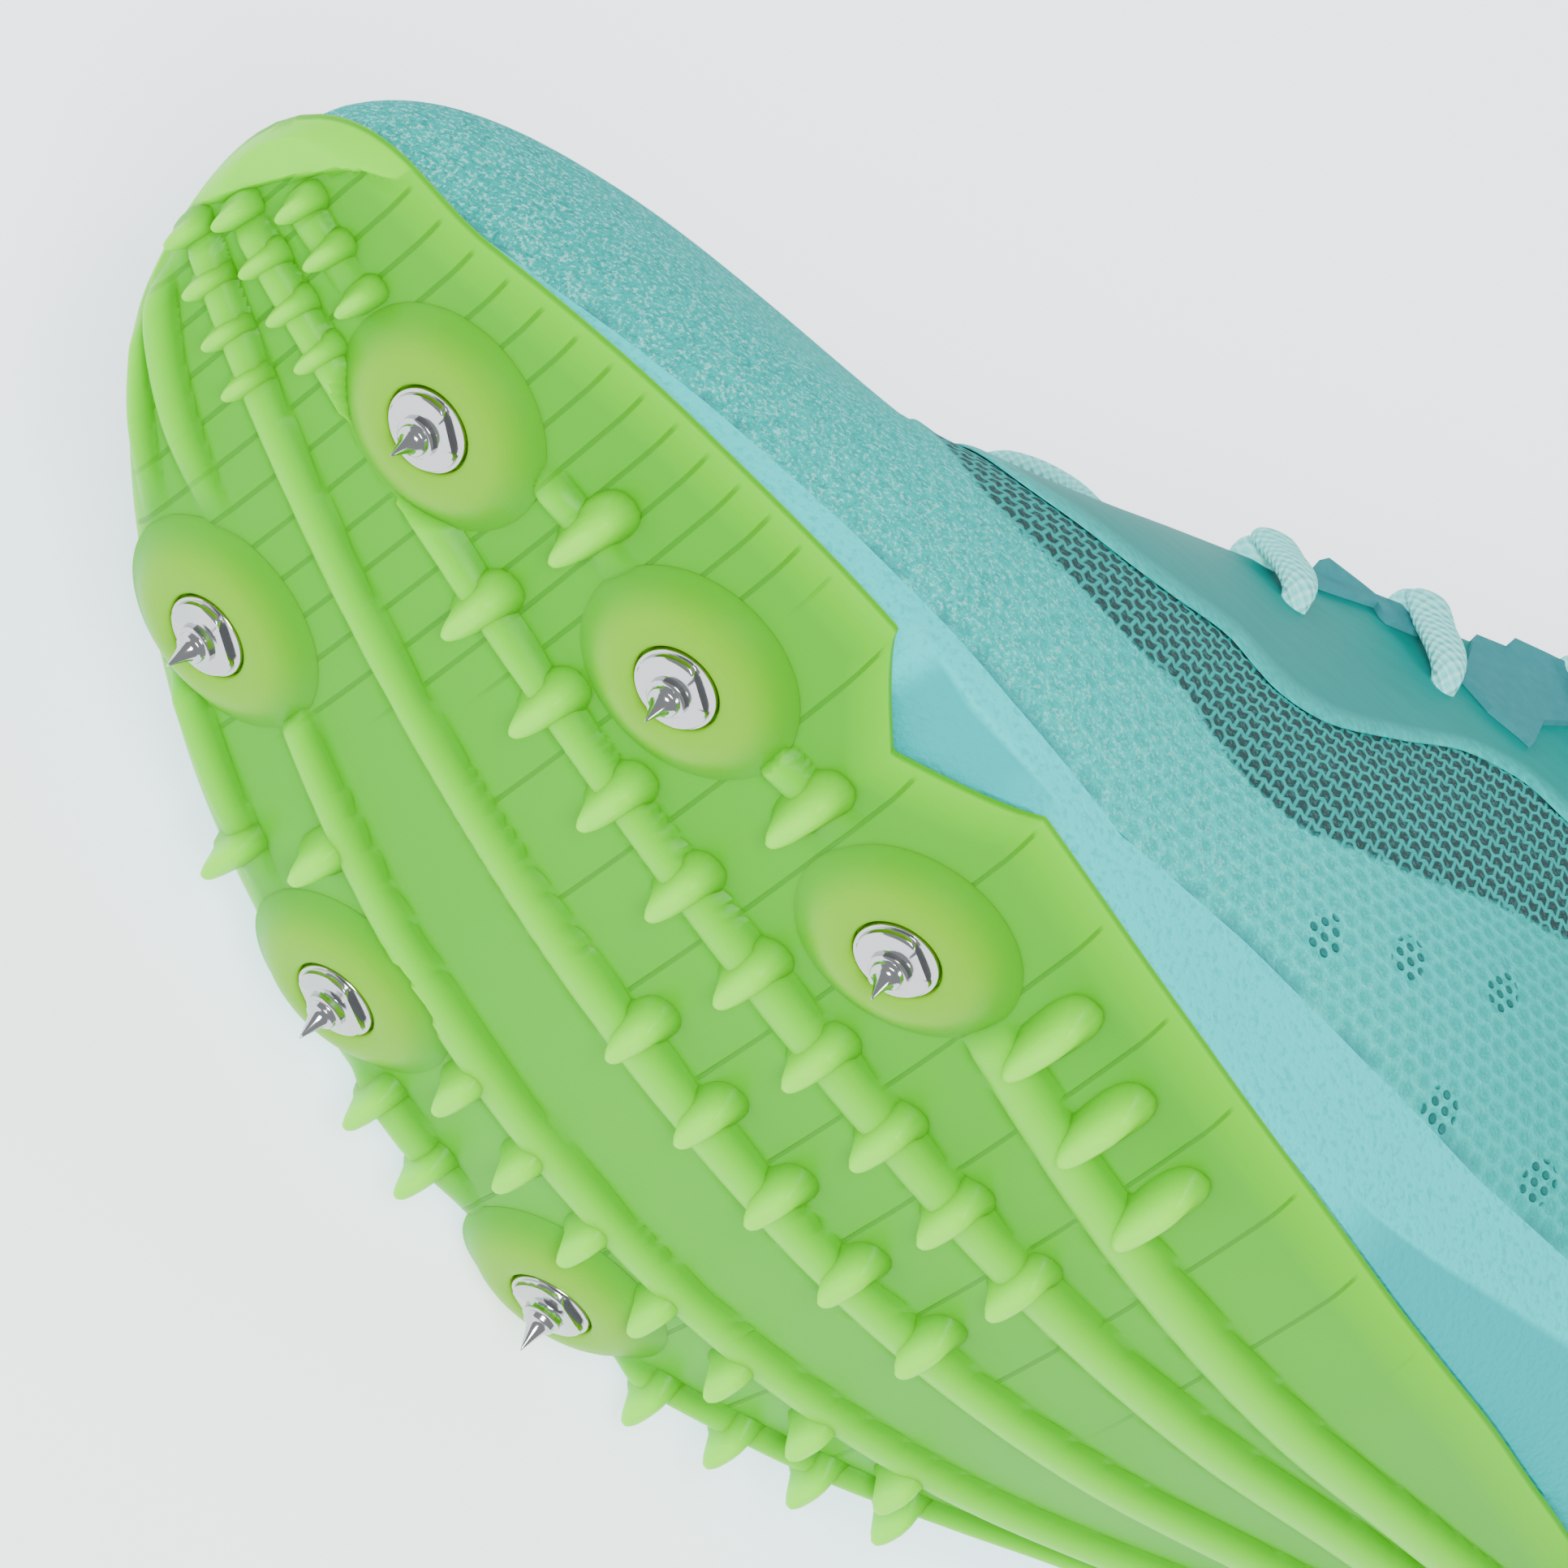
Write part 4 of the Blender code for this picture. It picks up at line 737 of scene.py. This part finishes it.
# Edges of the mesh stripe and of the eyestay above it, as laps of the inner side against ups
STRIPE_LOW = (
    (0.000, 0.95), (0.060, 0.86), (0.100, 0.66), (0.115, 0.50), (0.135, 0.30), (0.1475, 0.275),
    (0.160, 0.275), (0.170, 0.29), (0.1775, 0.25), (0.185, 0.225), (0.190, 0.225), (0.1975, 0.27),
    (0.2075, 0.33), (0.2175, 0.39), (0.2275, 0.425), (0.250, 0.50), (0.275, 0.66), (0.300, 0.90),
    (0.320, 1.02), (0.340, 1.05), (0.500, 1.05),
)
EYESTAY_LOW = (
    (0.000, 0.93), (0.060, 0.88), (0.100, 0.74), (0.115, 0.60), (0.130, 0.47), (0.140, 0.44),
    (0.150, 0.45), (0.160, 0.48), (0.170, 0.52), (0.180, 0.48), (0.1875, 0.50), (0.1975, 0.60),
    (0.2075, 0.69), (0.215, 0.70), (0.225, 0.66), (0.240, 0.64), (0.260, 0.66), (0.290, 0.70),
)


def knit_edge(table, laps):
    """An edge across the upper, the same on both sides; the table's rows are joined smoothly."""
    side_laps = np.minimum(laps % 1.0, 1.0 - laps % 1.0)
    return curve(table, 1, side_laps)


upper_laps = np.arange(361) / 360.0
upper_ups = np.linspace(0.0, 1.0, 61)
outside = wall(upper_laps, upper_ups)
wall_out = wall_normals(upper_laps, upper_ups)
steps_up = np.linalg.norm(np.diff(outside, axis=1), axis=-1)
heights = np.concatenate((np.zeros((len(outside), 1)), np.cumsum(steps_up, axis=1)), axis=1)
steps_on = np.linalg.norm(np.diff(outside[:, 20], axis=0), axis=-1)
lengths = np.concatenate(([0.0], np.cumsum(steps_on)))
turns = 2.0 * np.minimum(upper_laps, 1.0 - upper_laps)[:, None]
collar = ease(turns, THROAT_TURN - 0.04, THROAT_TURN + 0.06)
padding = 2.6 * collar * ease(upper_ups[None, :], 0.62, 0.86)
rim_round = ease(upper_ups, 0.93, 1.0)[None, :] ** 2
outer_face = outside + wall_out * (0.25 * padding * (1.0 - rim_round))[..., None]
thickness = UPPER_WALL + 0.75 * padding * (1.0 - 0.7 * rim_round)
inner_ups = np.arange(60, -1, -3)
inner_face = (outside - wall_out * thickness[..., None])[:, inner_ups]
outer_face[:, 0, 2] -= GAP
inner_face[:, -1, 2] = np.maximum(inner_face[:, -1, 2], outside[:, 0, 2])
bead = 0.5 * (outer_face[:, -1:] + inner_face[:, :1])
bead[..., 2] += 0.45 * thickness[:, -1:]

# A few soft flex folds over the ball of the foot, pressed in one by one
FOLDS = ((77.0, 0.35), (86.0, 0.45), (96.0, 0.3))
over = ease(upper_ups, 0.45, 0.7)[None, :] * (1.0 - ease(upper_ups, 0.86, 0.95))[None, :]
for spot, deep in FOLDS:
    trough = deep * np.exp(-((outside[..., 0] - spot - 8.0 * (1.0 - upper_ups[None, :])) / 2.4) ** 2)
    outer_face -= wall_out * (trough * over)[..., None]
shell = np.concatenate((outer_face, bead, inner_face, outer_face[:, :1]), axis=1)

stripe = (knit_edge(STRIPE_LOW, upper_laps)[:, None] - upper_ups[None, :]) * heights[:, -1:]
back_count = shell.shape[1] - outer_face.shape[1]
lining = np.concatenate((np.zeros(outer_face.shape[:2]), np.ones((len(shell), back_count))), axis=1)


def with_back(values):
    """Marks of the outer face; the lining takes those of the foot."""
    return np.concatenate((values, np.repeat(values[:, :1], back_count, axis=1)), axis=1)


map_u = np.repeat(lengths[:, None], outer_face.shape[1], axis=1)
cloth_map = np.stack((with_back(map_u), with_back(heights)), axis=-1) * 0.01
upper = skin("knit_upper", shell, uv=cloth_map, caps=False, stripe=with_back(stripe), lining=lining,
             back=with_back(outside[..., 0]))

# Small clusters of pinholes: their laps and ups on the inner side, mirrored on the outer side
VENTS = ((0.200, 0.10), (0.210, 0.175), (0.2225, 0.25), (0.2225, 0.025), (0.2375, 0.05))
VENT_REACH, VENT_PITCH = 2.6, 1.45
vent_spots = []
for lap, up in VENTS:
    for lap in (lap, 1.0 - lap):
        column = int(round(lap * 360.0)) % 360
        vent_spots.append((float(np.interp(lap * 360.0, np.arange(361), lengths)),
                           float(np.interp(up, upper_ups, heights[column]))))

material, tree, coords = finish("turquoise_knit", (0.01, 0.47, 0.45), 0.85, Specular_IOR_Level=0.06)
split = node(tree, "SeparateXYZ", ((0, node(tree, "UVMap").outputs[0]),))
u, v = (times(tree, split.outputs[k], 100.0) for k in (0, 1))
back_mark = mark(tree, "back")


def staggered(wide, high, wave=0.0):
    """Stitches on the cloth map, every other row shifted: how far from a stitch's middle, 0 to 0.5."""
    swing = times(tree, sums(tree, "COSINE", times(tree, u, 2.0 * math.pi / wide)), wave)
    rows = sums(tree, "ADD", sums(tree, "DIVIDE", v, high), swing)
    shift = times(tree, sums(tree, "FLOOR", rows), 0.5)
    along_it = sums(tree, "ADD", sums(tree, "DIVIDE", u, wide), shift)
    beside = sums(tree, "ABSOLUTE", sums(tree, "SUBTRACT", sums(tree, "FRACT", along_it), 0.5))
    above = sums(tree, "ABSOLUTE", sums(tree, "SUBTRACT", sums(tree, "FRACT", rows), 0.5))
    return beside, above


# Honeycomb stitches on the side, fleece at the toe
comb = ramp(tree, span(tree, *staggered(2.1, 1.75)), 0.56, 0.22)
fleck_noise = noise(tree, coords, 2500.0, 2.0, Roughness=0.7)
hair_noise = noise(tree, coords, 900.0, 4.0, Roughness=0.75, Distortion=1.5)
flecks = ramp(tree, fleck_noise, 0.51, 0.65)
toe_share = ramp(tree, back_mark, 110.0, 15.0)


def by_toe(more, least):
    """A share that grows from least at the back by more at the toe."""
    return sums(tree, "MULTIPLY_ADD", toe_share, more, least)


loops = times(tree, sums(tree, "SUBTRACT", 1.0, comb), by_toe(-0.75, 0.85))
deep = times(tree, ramp(tree, hair_noise, 0.50, 0.36), by_toe(0.6, 0.2))
knit = blend_colour(tree, noise(tree, coords, 45.0, 2.0), KNIT_DARK, KNIT_LIGHT)
knit = blend_colour(tree, times(tree, loops, 0.55), knit, KNIT_LOOP)
knit = blend_colour(tree, deep, knit, KNIT_DEEP)
knit = blend_colour(tree, times(tree, flecks, by_toe(0.50, 0.16)), knit, KNIT_FLECK)
knit = blend_colour(tree, times(tree, ramp(tree, back_mark, 95.0, 160.0), 0.7), knit, KNIT_BACK)

# Pinholes in their clusters
near = 100.0
for spot_u, spot_v in vent_spots:
    off_u = sums(tree, "DIVIDE", sums(tree, "SUBTRACT", u, spot_u), 0.8)
    near = sums(tree, "MINIMUM", span(tree, off_u, sums(tree, "SUBTRACT", v, spot_v)), near)
pin_far = span(tree, *staggered(VENT_PITCH, VENT_PITCH * 0.9))
pinholes = times(tree, ramp(tree, pin_far, 0.34, 0.24), ramp(tree, near, VENT_REACH, VENT_REACH - 0.4))
knit = blend_colour(tree, times(tree, pinholes, 0.75), knit, PINHOLE)

# Open mesh of the stripe: rows of dark holes between wavy strands
hole_beside, hole_above = staggered(1.55, 1.95, 0.14)
holes = times(tree, ramp(tree, hole_beside, 0.40, 0.30), ramp(tree, hole_above, 0.37, 0.27))
net = blend_colour(tree, holes, NET_STRAND, NET_HOLE)
net = blend_colour(tree, times(tree, flecks, 0.25), net, NET_FLECK)
in_stripe = ramp(tree, sums(tree, "ADD", mark(tree, "stripe"), times(tree, hair_noise, 1.2)), 1.1, 0.2)
outer_look = blend_colour(tree, in_stripe, knit, net)
lined = blend_colour(tree, mark(tree, "lining"), outer_look, LINING)
fuzz = sums(tree, "ADD", times(tree, fleck_noise, 0.7), times(tree, hair_noise, by_toe(1.4, 0.2)))
weave = sums(tree, "ADD", fuzz, times(tree, loops, 0.7))
dents = times(tree, sums(tree, "ADD", times(tree, holes, in_stripe), pinholes), 1.1)
dress(upper, material, lined, sums(tree, "SUBTRACT", weave, dents), 0.0003, 0.85)
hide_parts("upper")
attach(upper, "root")


# ---- The eyestay ----
# A smooth film bonded over the knit round the throat, its lower edge slightly fuzzy where the glue
# ends.  The laces pass through it; its eyelets are covered by them and have no holes here.
OVERLAY, FILM_UNDER, FILM_FOOT = 0.35, 0.12, 0.16
FILM_DARK, FILM_LIGHT, FILM_EDGE = (0.0, 0.23, 0.205), (0.0, 0.29, 0.26), (0.02, 0.60, 0.56)
stay_laps = np.linspace(-THROAT_TURN / 2.0 - 0.005, THROAT_TURN / 2.0 + 0.005, 301)
stay_shares = np.linspace(0.0, 1.0, 25)
stay_low = knit_edge(EYESTAY_LOW, stay_laps)
stay_out, stay_in = [], []
for lap, low in zip(stay_laps, stay_low):
    ups = low + (1.0 - low) * stay_shares
    points, normals = wall([lap], ups)[0], wall_normals([lap], ups)[0]
    lift = FILM_FOOT + OVERLAY * ease(stay_shares, -0.02, 0.05) * ease(stay_shares, 1.02, 0.98)
    stay_out.append(points + normals * lift[:, None])
    stay_in.append(points + normals * FILM_UNDER)
stay_out, stay_in = np.array(stay_out), np.array(stay_in)
sheet = np.concatenate((stay_out, stay_in[:, ::-1], stay_out[:, :1]), axis=1)
up_marks = np.concatenate((stay_shares, stay_shares[::-1], stay_shares[:1]))
eyestay = skin("eyestay_film", sheet, up=np.tile(up_marks, (len(stay_laps), 1)))
material, tree, coords = finish("eyestay_film", (0.0, 0.30, 0.28), 0.6, Specular_IOR_Level=0.05)
drawn_out = node(tree, "Mapping", (("Vector", coords), ("Scale", (160.0, 700.0, 700.0))))
streak = noise(tree, drawn_out.outputs[0], 1.0, 3.0)
fuzz = noise(tree, coords, 1400.0, 2.0)
edge = times(tree, ramp(tree, mark(tree, "up"), 0.12, 0.0), times(tree, fuzz, 1.3))
film = blend_colour(tree, edge, blend_colour(tree, streak, FILM_DARK, FILM_LIGHT), FILM_EDGE)
dress(eyestay, material, film, sums(tree, "MULTIPLY_ADD", fuzz, 0.4, streak), 0.0001, 0.5)
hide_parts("eyestay")
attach(eyestay, "root")


# ---- The tongue and the footbed ----
# The tongue is a flat felted sheet tucked under the throat's edges, with stepped tabs that come up
# over those edges between the lace crossings.  The footbed is cloth on thin foam.
TONGUE_THICK = 1.5
FELT_DARK, FELT_LIGHT = (0.025, 0.21, 0.235), (0.05, 0.27, 0.29)
CLOTH_DARK, CLOTH_LIGHT = (0.20, 0.26, 0.27), (0.29, 0.35, 0.36)
TONGUE_ROUTE = (
    # down from the throat's edge, side, below the eyestay's face
    (7.0, 1.0, 3.4), (3.0, 1.0, 3.0), (0.0, 1.0, 2.8), (0.0, -1.0, 2.8), (3.0, -1.0, 3.0), (7.0, -1.0, 3.4),
)
TABS = (
    # share of the length, how far above the throat's edge, how far down over the eyestay
    ((0.3470, -0.8, 1.6), (0.3485, 1.7, 2.6), (0.3510, 2.3, 3.2), (0.3650, 1.0, 2.2), (0.3720, 0.3, 1.8),
     (0.3750, 0.1, 3.6), (0.3780, 0.0, 4.5), (0.3890, -0.1, 4.2)),
    ((0.4060, 0.2, 9.0), (0.4165, 0.3, 12.2), (0.4180, 1.6, 12.8), (0.4300, 1.4, 14.6), (0.4340, 1.3, 15.4),
     (0.4355, 1.3, 10.4), (0.4470, 0.9, 7.6), (0.4550, 0.6, 6.0)),
)
# Where the walls end at the throat, to look up a lap by its place
TOP_TURNS = np.linspace(0.0, 0.7, 1401)
TOP_SHARES = curve(WALLS, 1, TOP_TURNS)


def lap_at_top(share, side):
    """The lap whose wall ends at a share of the length."""
    turn = float(np.interp(share, TOP_SHARES, TOP_TURNS))
    return turn / 2.0 if side > 0 else 1.0 - turn / 2.0


def seat(share, side, inset):
    """Point on the eyestay this far down from the throat's edge, and the normal there."""
    lap = lap_at_top(share, side)
    edge = wall([lap], [0.85, 1.0])[0]
    up = 1.0 - 0.15 * inset / np.linalg.norm(edge[1] - edge[0])
    point, out = wall([lap], [up])[0, 0], wall_normals([lap], [up])[0, 0]
    return point + out * (FILM_FOOT + OVERLAY), out


def smooth_path(spots, ways, count):
    """Lengths along a smooth path through the spots, the path there, and the ways along it."""
    spots, ways = np.array(spots), np.array(ways)
    lengths = np.concatenate(([0.0], np.cumsum(np.linalg.norm(np.diff(spots, axis=0), axis=1))))
    fine = np.linspace(0.0, lengths[-1], count)
    path = np.stack([curve(list(zip(lengths, spots[:, k])), 1, fine) for k in range(3)], axis=-1)
    return fine, path, np.stack([np.interp(fine, lengths, ways[:, k]) for k in range(3)], axis=-1)


sheet_rows = []
for share in np.linspace(0.262, 0.585, 70):
    spots, ways = [], []
    for inset, side, deep in TONGUE_ROUTE:
        point, out = seat(share, side, inset)
        spots.append(point - out * (deep + OVERLAY))
        ways.append(out)
    spots.insert(3, (spots[2] + spots[3]) / 2.0 + UP * 0.5)
    ways.insert(3, UP)
    _fine, face, out = smooth_path(spots, ways, 31)
    sheet_rows.append(np.concatenate((face, (face - unit(out) * TONGUE_THICK)[::-1], face[:1])))
tongue_pieces = [skin("tongue_felt", np.array(sheet_rows))]
for side in (1.0, -1.0):
    for corners in TABS:
        table = np.array(corners)
        shares = np.unique(np.concatenate((np.linspace(table[0, 0], table[-1, 0], 22), table[:, 0])))
        above_by = np.interp(shares, table[:, 0], table[:, 1])
        below_by = np.interp(shares, table[:, 0], table[:, 2])
        outline = []
        for share, high_by, low_by in zip(shares, above_by, below_by):
            rim_point, rim_out = seat(share, side, 0.0)
            drops = np.linspace(low_by, 0.0, 6)[:-1]
            column = [seat(share, side, drop) for drop in drops] + [(rim_point, rim_out)]
            column.append((rim_point + UP * high_by - rim_out * 0.4, rim_out))
            front = [point + out * 0.75 for point, out in column]
            rear = [point + out * 0.05 for point, out in column[:-1]]
            rear.append(column[-1][0] - rim_out * 0.9)
            rear.append(rim_point - rim_out * 2.6 - UP * 1.0)
            front.append(column[-1][0] - rim_out * 0.4 + UP * 0.25)
            outline.append(front + rear[::-1] + front[:1])
        tongue_pieces.append(skin("tongue_tab", np.array(outline)))
tongue = join(tongue_pieces)
material, tree, coords = finish("slate_felt", (0.035, 0.24, 0.26), 0.85, Specular_IOR_Level=0.05)
felt = noise(tree, coords, 900.0, 4.0)
dress(tongue, material, blend_colour(tree, felt, FELT_DARK, FELT_LIGHT), felt, 0.00015, 0.6)
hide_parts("tongue")
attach(tongue, "root")

material, tree, coords = finish("footbed_cloth", (0.24, 0.30, 0.31), 0.9)
weave = noise(tree, coords, 1200.0, 3.0)
dress(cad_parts["insole"], material, blend_colour(tree, weave, CLOTH_DARK, CLOTH_LIGHT),
      weave, 0.00015, 0.6)


# ---- The laces ----
# Flat woven laces, light mint.  Each strand leaves an eyelet, turns over the throat's edge and
# crosses to dive under the other edge, where it comes up through the next eyelet forwards.  The
# free ends are tucked away under the top pair.
EYELETS = (0.268, 0.350, 0.403, 0.462, 0.520)
LACE_WIDTH, LACE_THICK, THREAD_ALONG, THREAD_ROUND = 4.6, 2.2, 0.9, 0.7
FRONT_LACE, FRONT_EDGE, FRONT_LEAD, EDGE_LEAD = 0.262, 0.277, 0.004, 0.018
UNDER_EDGE = 2.6          # a lace passes this far inside the throat's edge
LACE_DARK, LACE_LIGHT = (0.10, 0.80, 0.75), (0.42, 0.99, 0.95)
LACE_ROUTE = (
    # share of the lead forwards, down from the throat's edge, above the eyestay
    (0.00, 12.4, -2.8), (0.10, 11.4, -0.4), (0.30, 8.4, 0.3), (0.65, 4.2, 0.4), (1.00, 0.2, 0.5),
)


def strand(first, second, side, lift, lead, name):
    """One strand, from the eyelet at first on one side to under the edge at second on the other."""
    clear = 0.1 + LACE_THICK / 2.0
    spots, ways = [], []
    for share, inset, extra in LACE_ROUTE:
        point, out = seat(first - share * lead, side, inset)
        spots.append(point + out * (clear + extra))
        ways.append(out)
    far_edge, far_out = seat(second + 0.3 * lead, -side, 0.0)
    far_in, _out = seat(second + 0.1 * lead, -side, 4.5)
    near_edge, near_out = seat(first - 1.3 * lead, side, 0.0)
    spots += [near_edge - near_out * UNDER_EDGE + UP * (0.4 + lift), (near_edge + far_edge) / 2.0 + UP * lift,
              far_edge - far_out * UNDER_EDGE + UP * (0.5 * lift - 0.6), far_in - far_out * 4.2]
    ways += [(near_out + UP) / 2.0, UP, (far_out + UP) / 2.0, far_out]
    fine, path, up_way = smooth_path(spots, ways, 120)
    run = unit(np.gradient(path, axis=0))
    side_way = unit(np.cross(run, up_way))
    up_way = np.cross(side_way, run)
    pinch = 1.0 - 0.45 * (ease(fine, 7.0, 1.0) + ease(fine[-1] - fine, 7.0, 1.0))
    half = pinch[:, None] * LACE_WIDTH / 2.0
    angles = np.linspace(0.0, 2.0 * math.pi, 25)
    flat_cos = np.abs(np.cos(angles)) ** 0.8 * np.sign(np.cos(angles))
    rings = (path[:, None, :]
             + side_way[:, None, :] * (flat_cos * half)[..., None]
             + up_way[:, None, :] * (np.sin(angles) * LACE_THICK / 2.0)[None, :, None])
    uv = np.stack(np.meshgrid(fine, angles * 0.8, indexing="ij"), axis=-1)
    return skin(name, rings, uv=uv * 0.01)


runs = [strand(FRONT_LACE, FRONT_EDGE, -1.0, 4.0, FRONT_LEAD, "lace_front")]
for low, high in zip(EYELETS, EYELETS[1:]):
    runs.append(strand(high, low + EDGE_LEAD, 1.0, -1.4, EDGE_LEAD, "lace_from_inner"))
    runs.append(strand(high, low + EDGE_LEAD, -1.0, 0.6, EDGE_LEAD, "lace_from_outer"))
lace = join(runs)
lace.name = lace.data.name = "woven_laces"
material, tree, coords = finish("mint_lace", (0.20, 0.86, 0.80), 0.85, Specular_IOR_Level=0.1)
split = node(tree, "SeparateXYZ", ((0, node(tree, "UVMap").outputs[0]),))
u, v = (times(tree, split.outputs[k], 100.0 * 2.0 * math.pi / size)
        for k, size in enumerate((THREAD_ALONG, THREAD_ROUND)))
rising, falling = (sums(tree, "COSINE", sums(tree, way, u, v)) for way in ("ADD", "SUBTRACT"))
weave = times(tree, sums(tree, "ADD", rising, falling), 0.5)
dress(lace, material, blend_colour(tree, ramp(tree, weave, -1.0, 1.0), LACE_DARK, LACE_LIGHT),
      weave, 0.0002, 0.8)
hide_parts("laces")
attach(lace, "root")


# ---- The room ----
# A pale floor that glows a little, a pale sky, a broad key lamp and a weaker one behind, and the
# photograph's long lens.
FLOOR_DROP = 0.0009       # just under the soft pieces, which reach 0.7 mm below the solids
bpy.ops.object.select_all(action="DESELECT")
bpy.ops.mesh.primitive_plane_add(size=6.0)
floor = bpy.context.object
floor.name = "floor"
floor.location.z = -FLOOR_DROP
material, tree, coords = finish("pale_floor", (0.86, 0.87, 0.89), 0.9, Emission_Strength=1.5,
                                Emission_Color=(0.95, 0.98, 1.03, 1.0), Specular_IOR_Level=0.0)
floor.data.materials.append(material)

world = bpy.data.worlds.new("pale_room")
bpy.context.scene.world = world
world.use_nodes = True
sky = world.node_tree.nodes["Background"]
sky.inputs["Color"].default_value = (0.93, 0.95, 0.97, 1.0)
sky.inputs["Strength"].default_value = 0.55

for name, spot, size, power in (
        ("key_lamp", (-0.5, -0.75, 1.5), 0.7, 40.0),
        ("side_lamp", (0.9, 0.5, 1.3), 0.5, 10.0)):
    lamp = bpy.data.lights.new(name, "AREA")
    lamp.size = size
    lamp.energy = power
    holder = bpy.data.objects.new(name, lamp)
    bpy.context.scene.collection.objects.link(holder)
    holder.location = spot
    holder.rotation_euler = (Vector((0.0, 0.0, 0.05)) - Vector(spot)).to_track_quat("-Z", "Y").to_euler()

lens = bpy.data.cameras.new("long_lens")
lens.sensor_width = 36.0
lens.lens = 313.5
lens.clip_start = 0.05
camera = bpy.data.objects.new("camera", lens)
bpy.context.scene.collection.objects.link(camera)
camera.matrix_world = Matrix((
    (0.6216743, -0.6936547, -0.3638189, -0.4735642),
    (0.5251614, 0.7137400, -0.4634442, -0.5403002),
    (0.5811424, 0.0970477, 0.8079945, 0.9492309),
    (0.0, 0.0, 0.0, 1.0),
))
bpy.context.scene.camera = camera
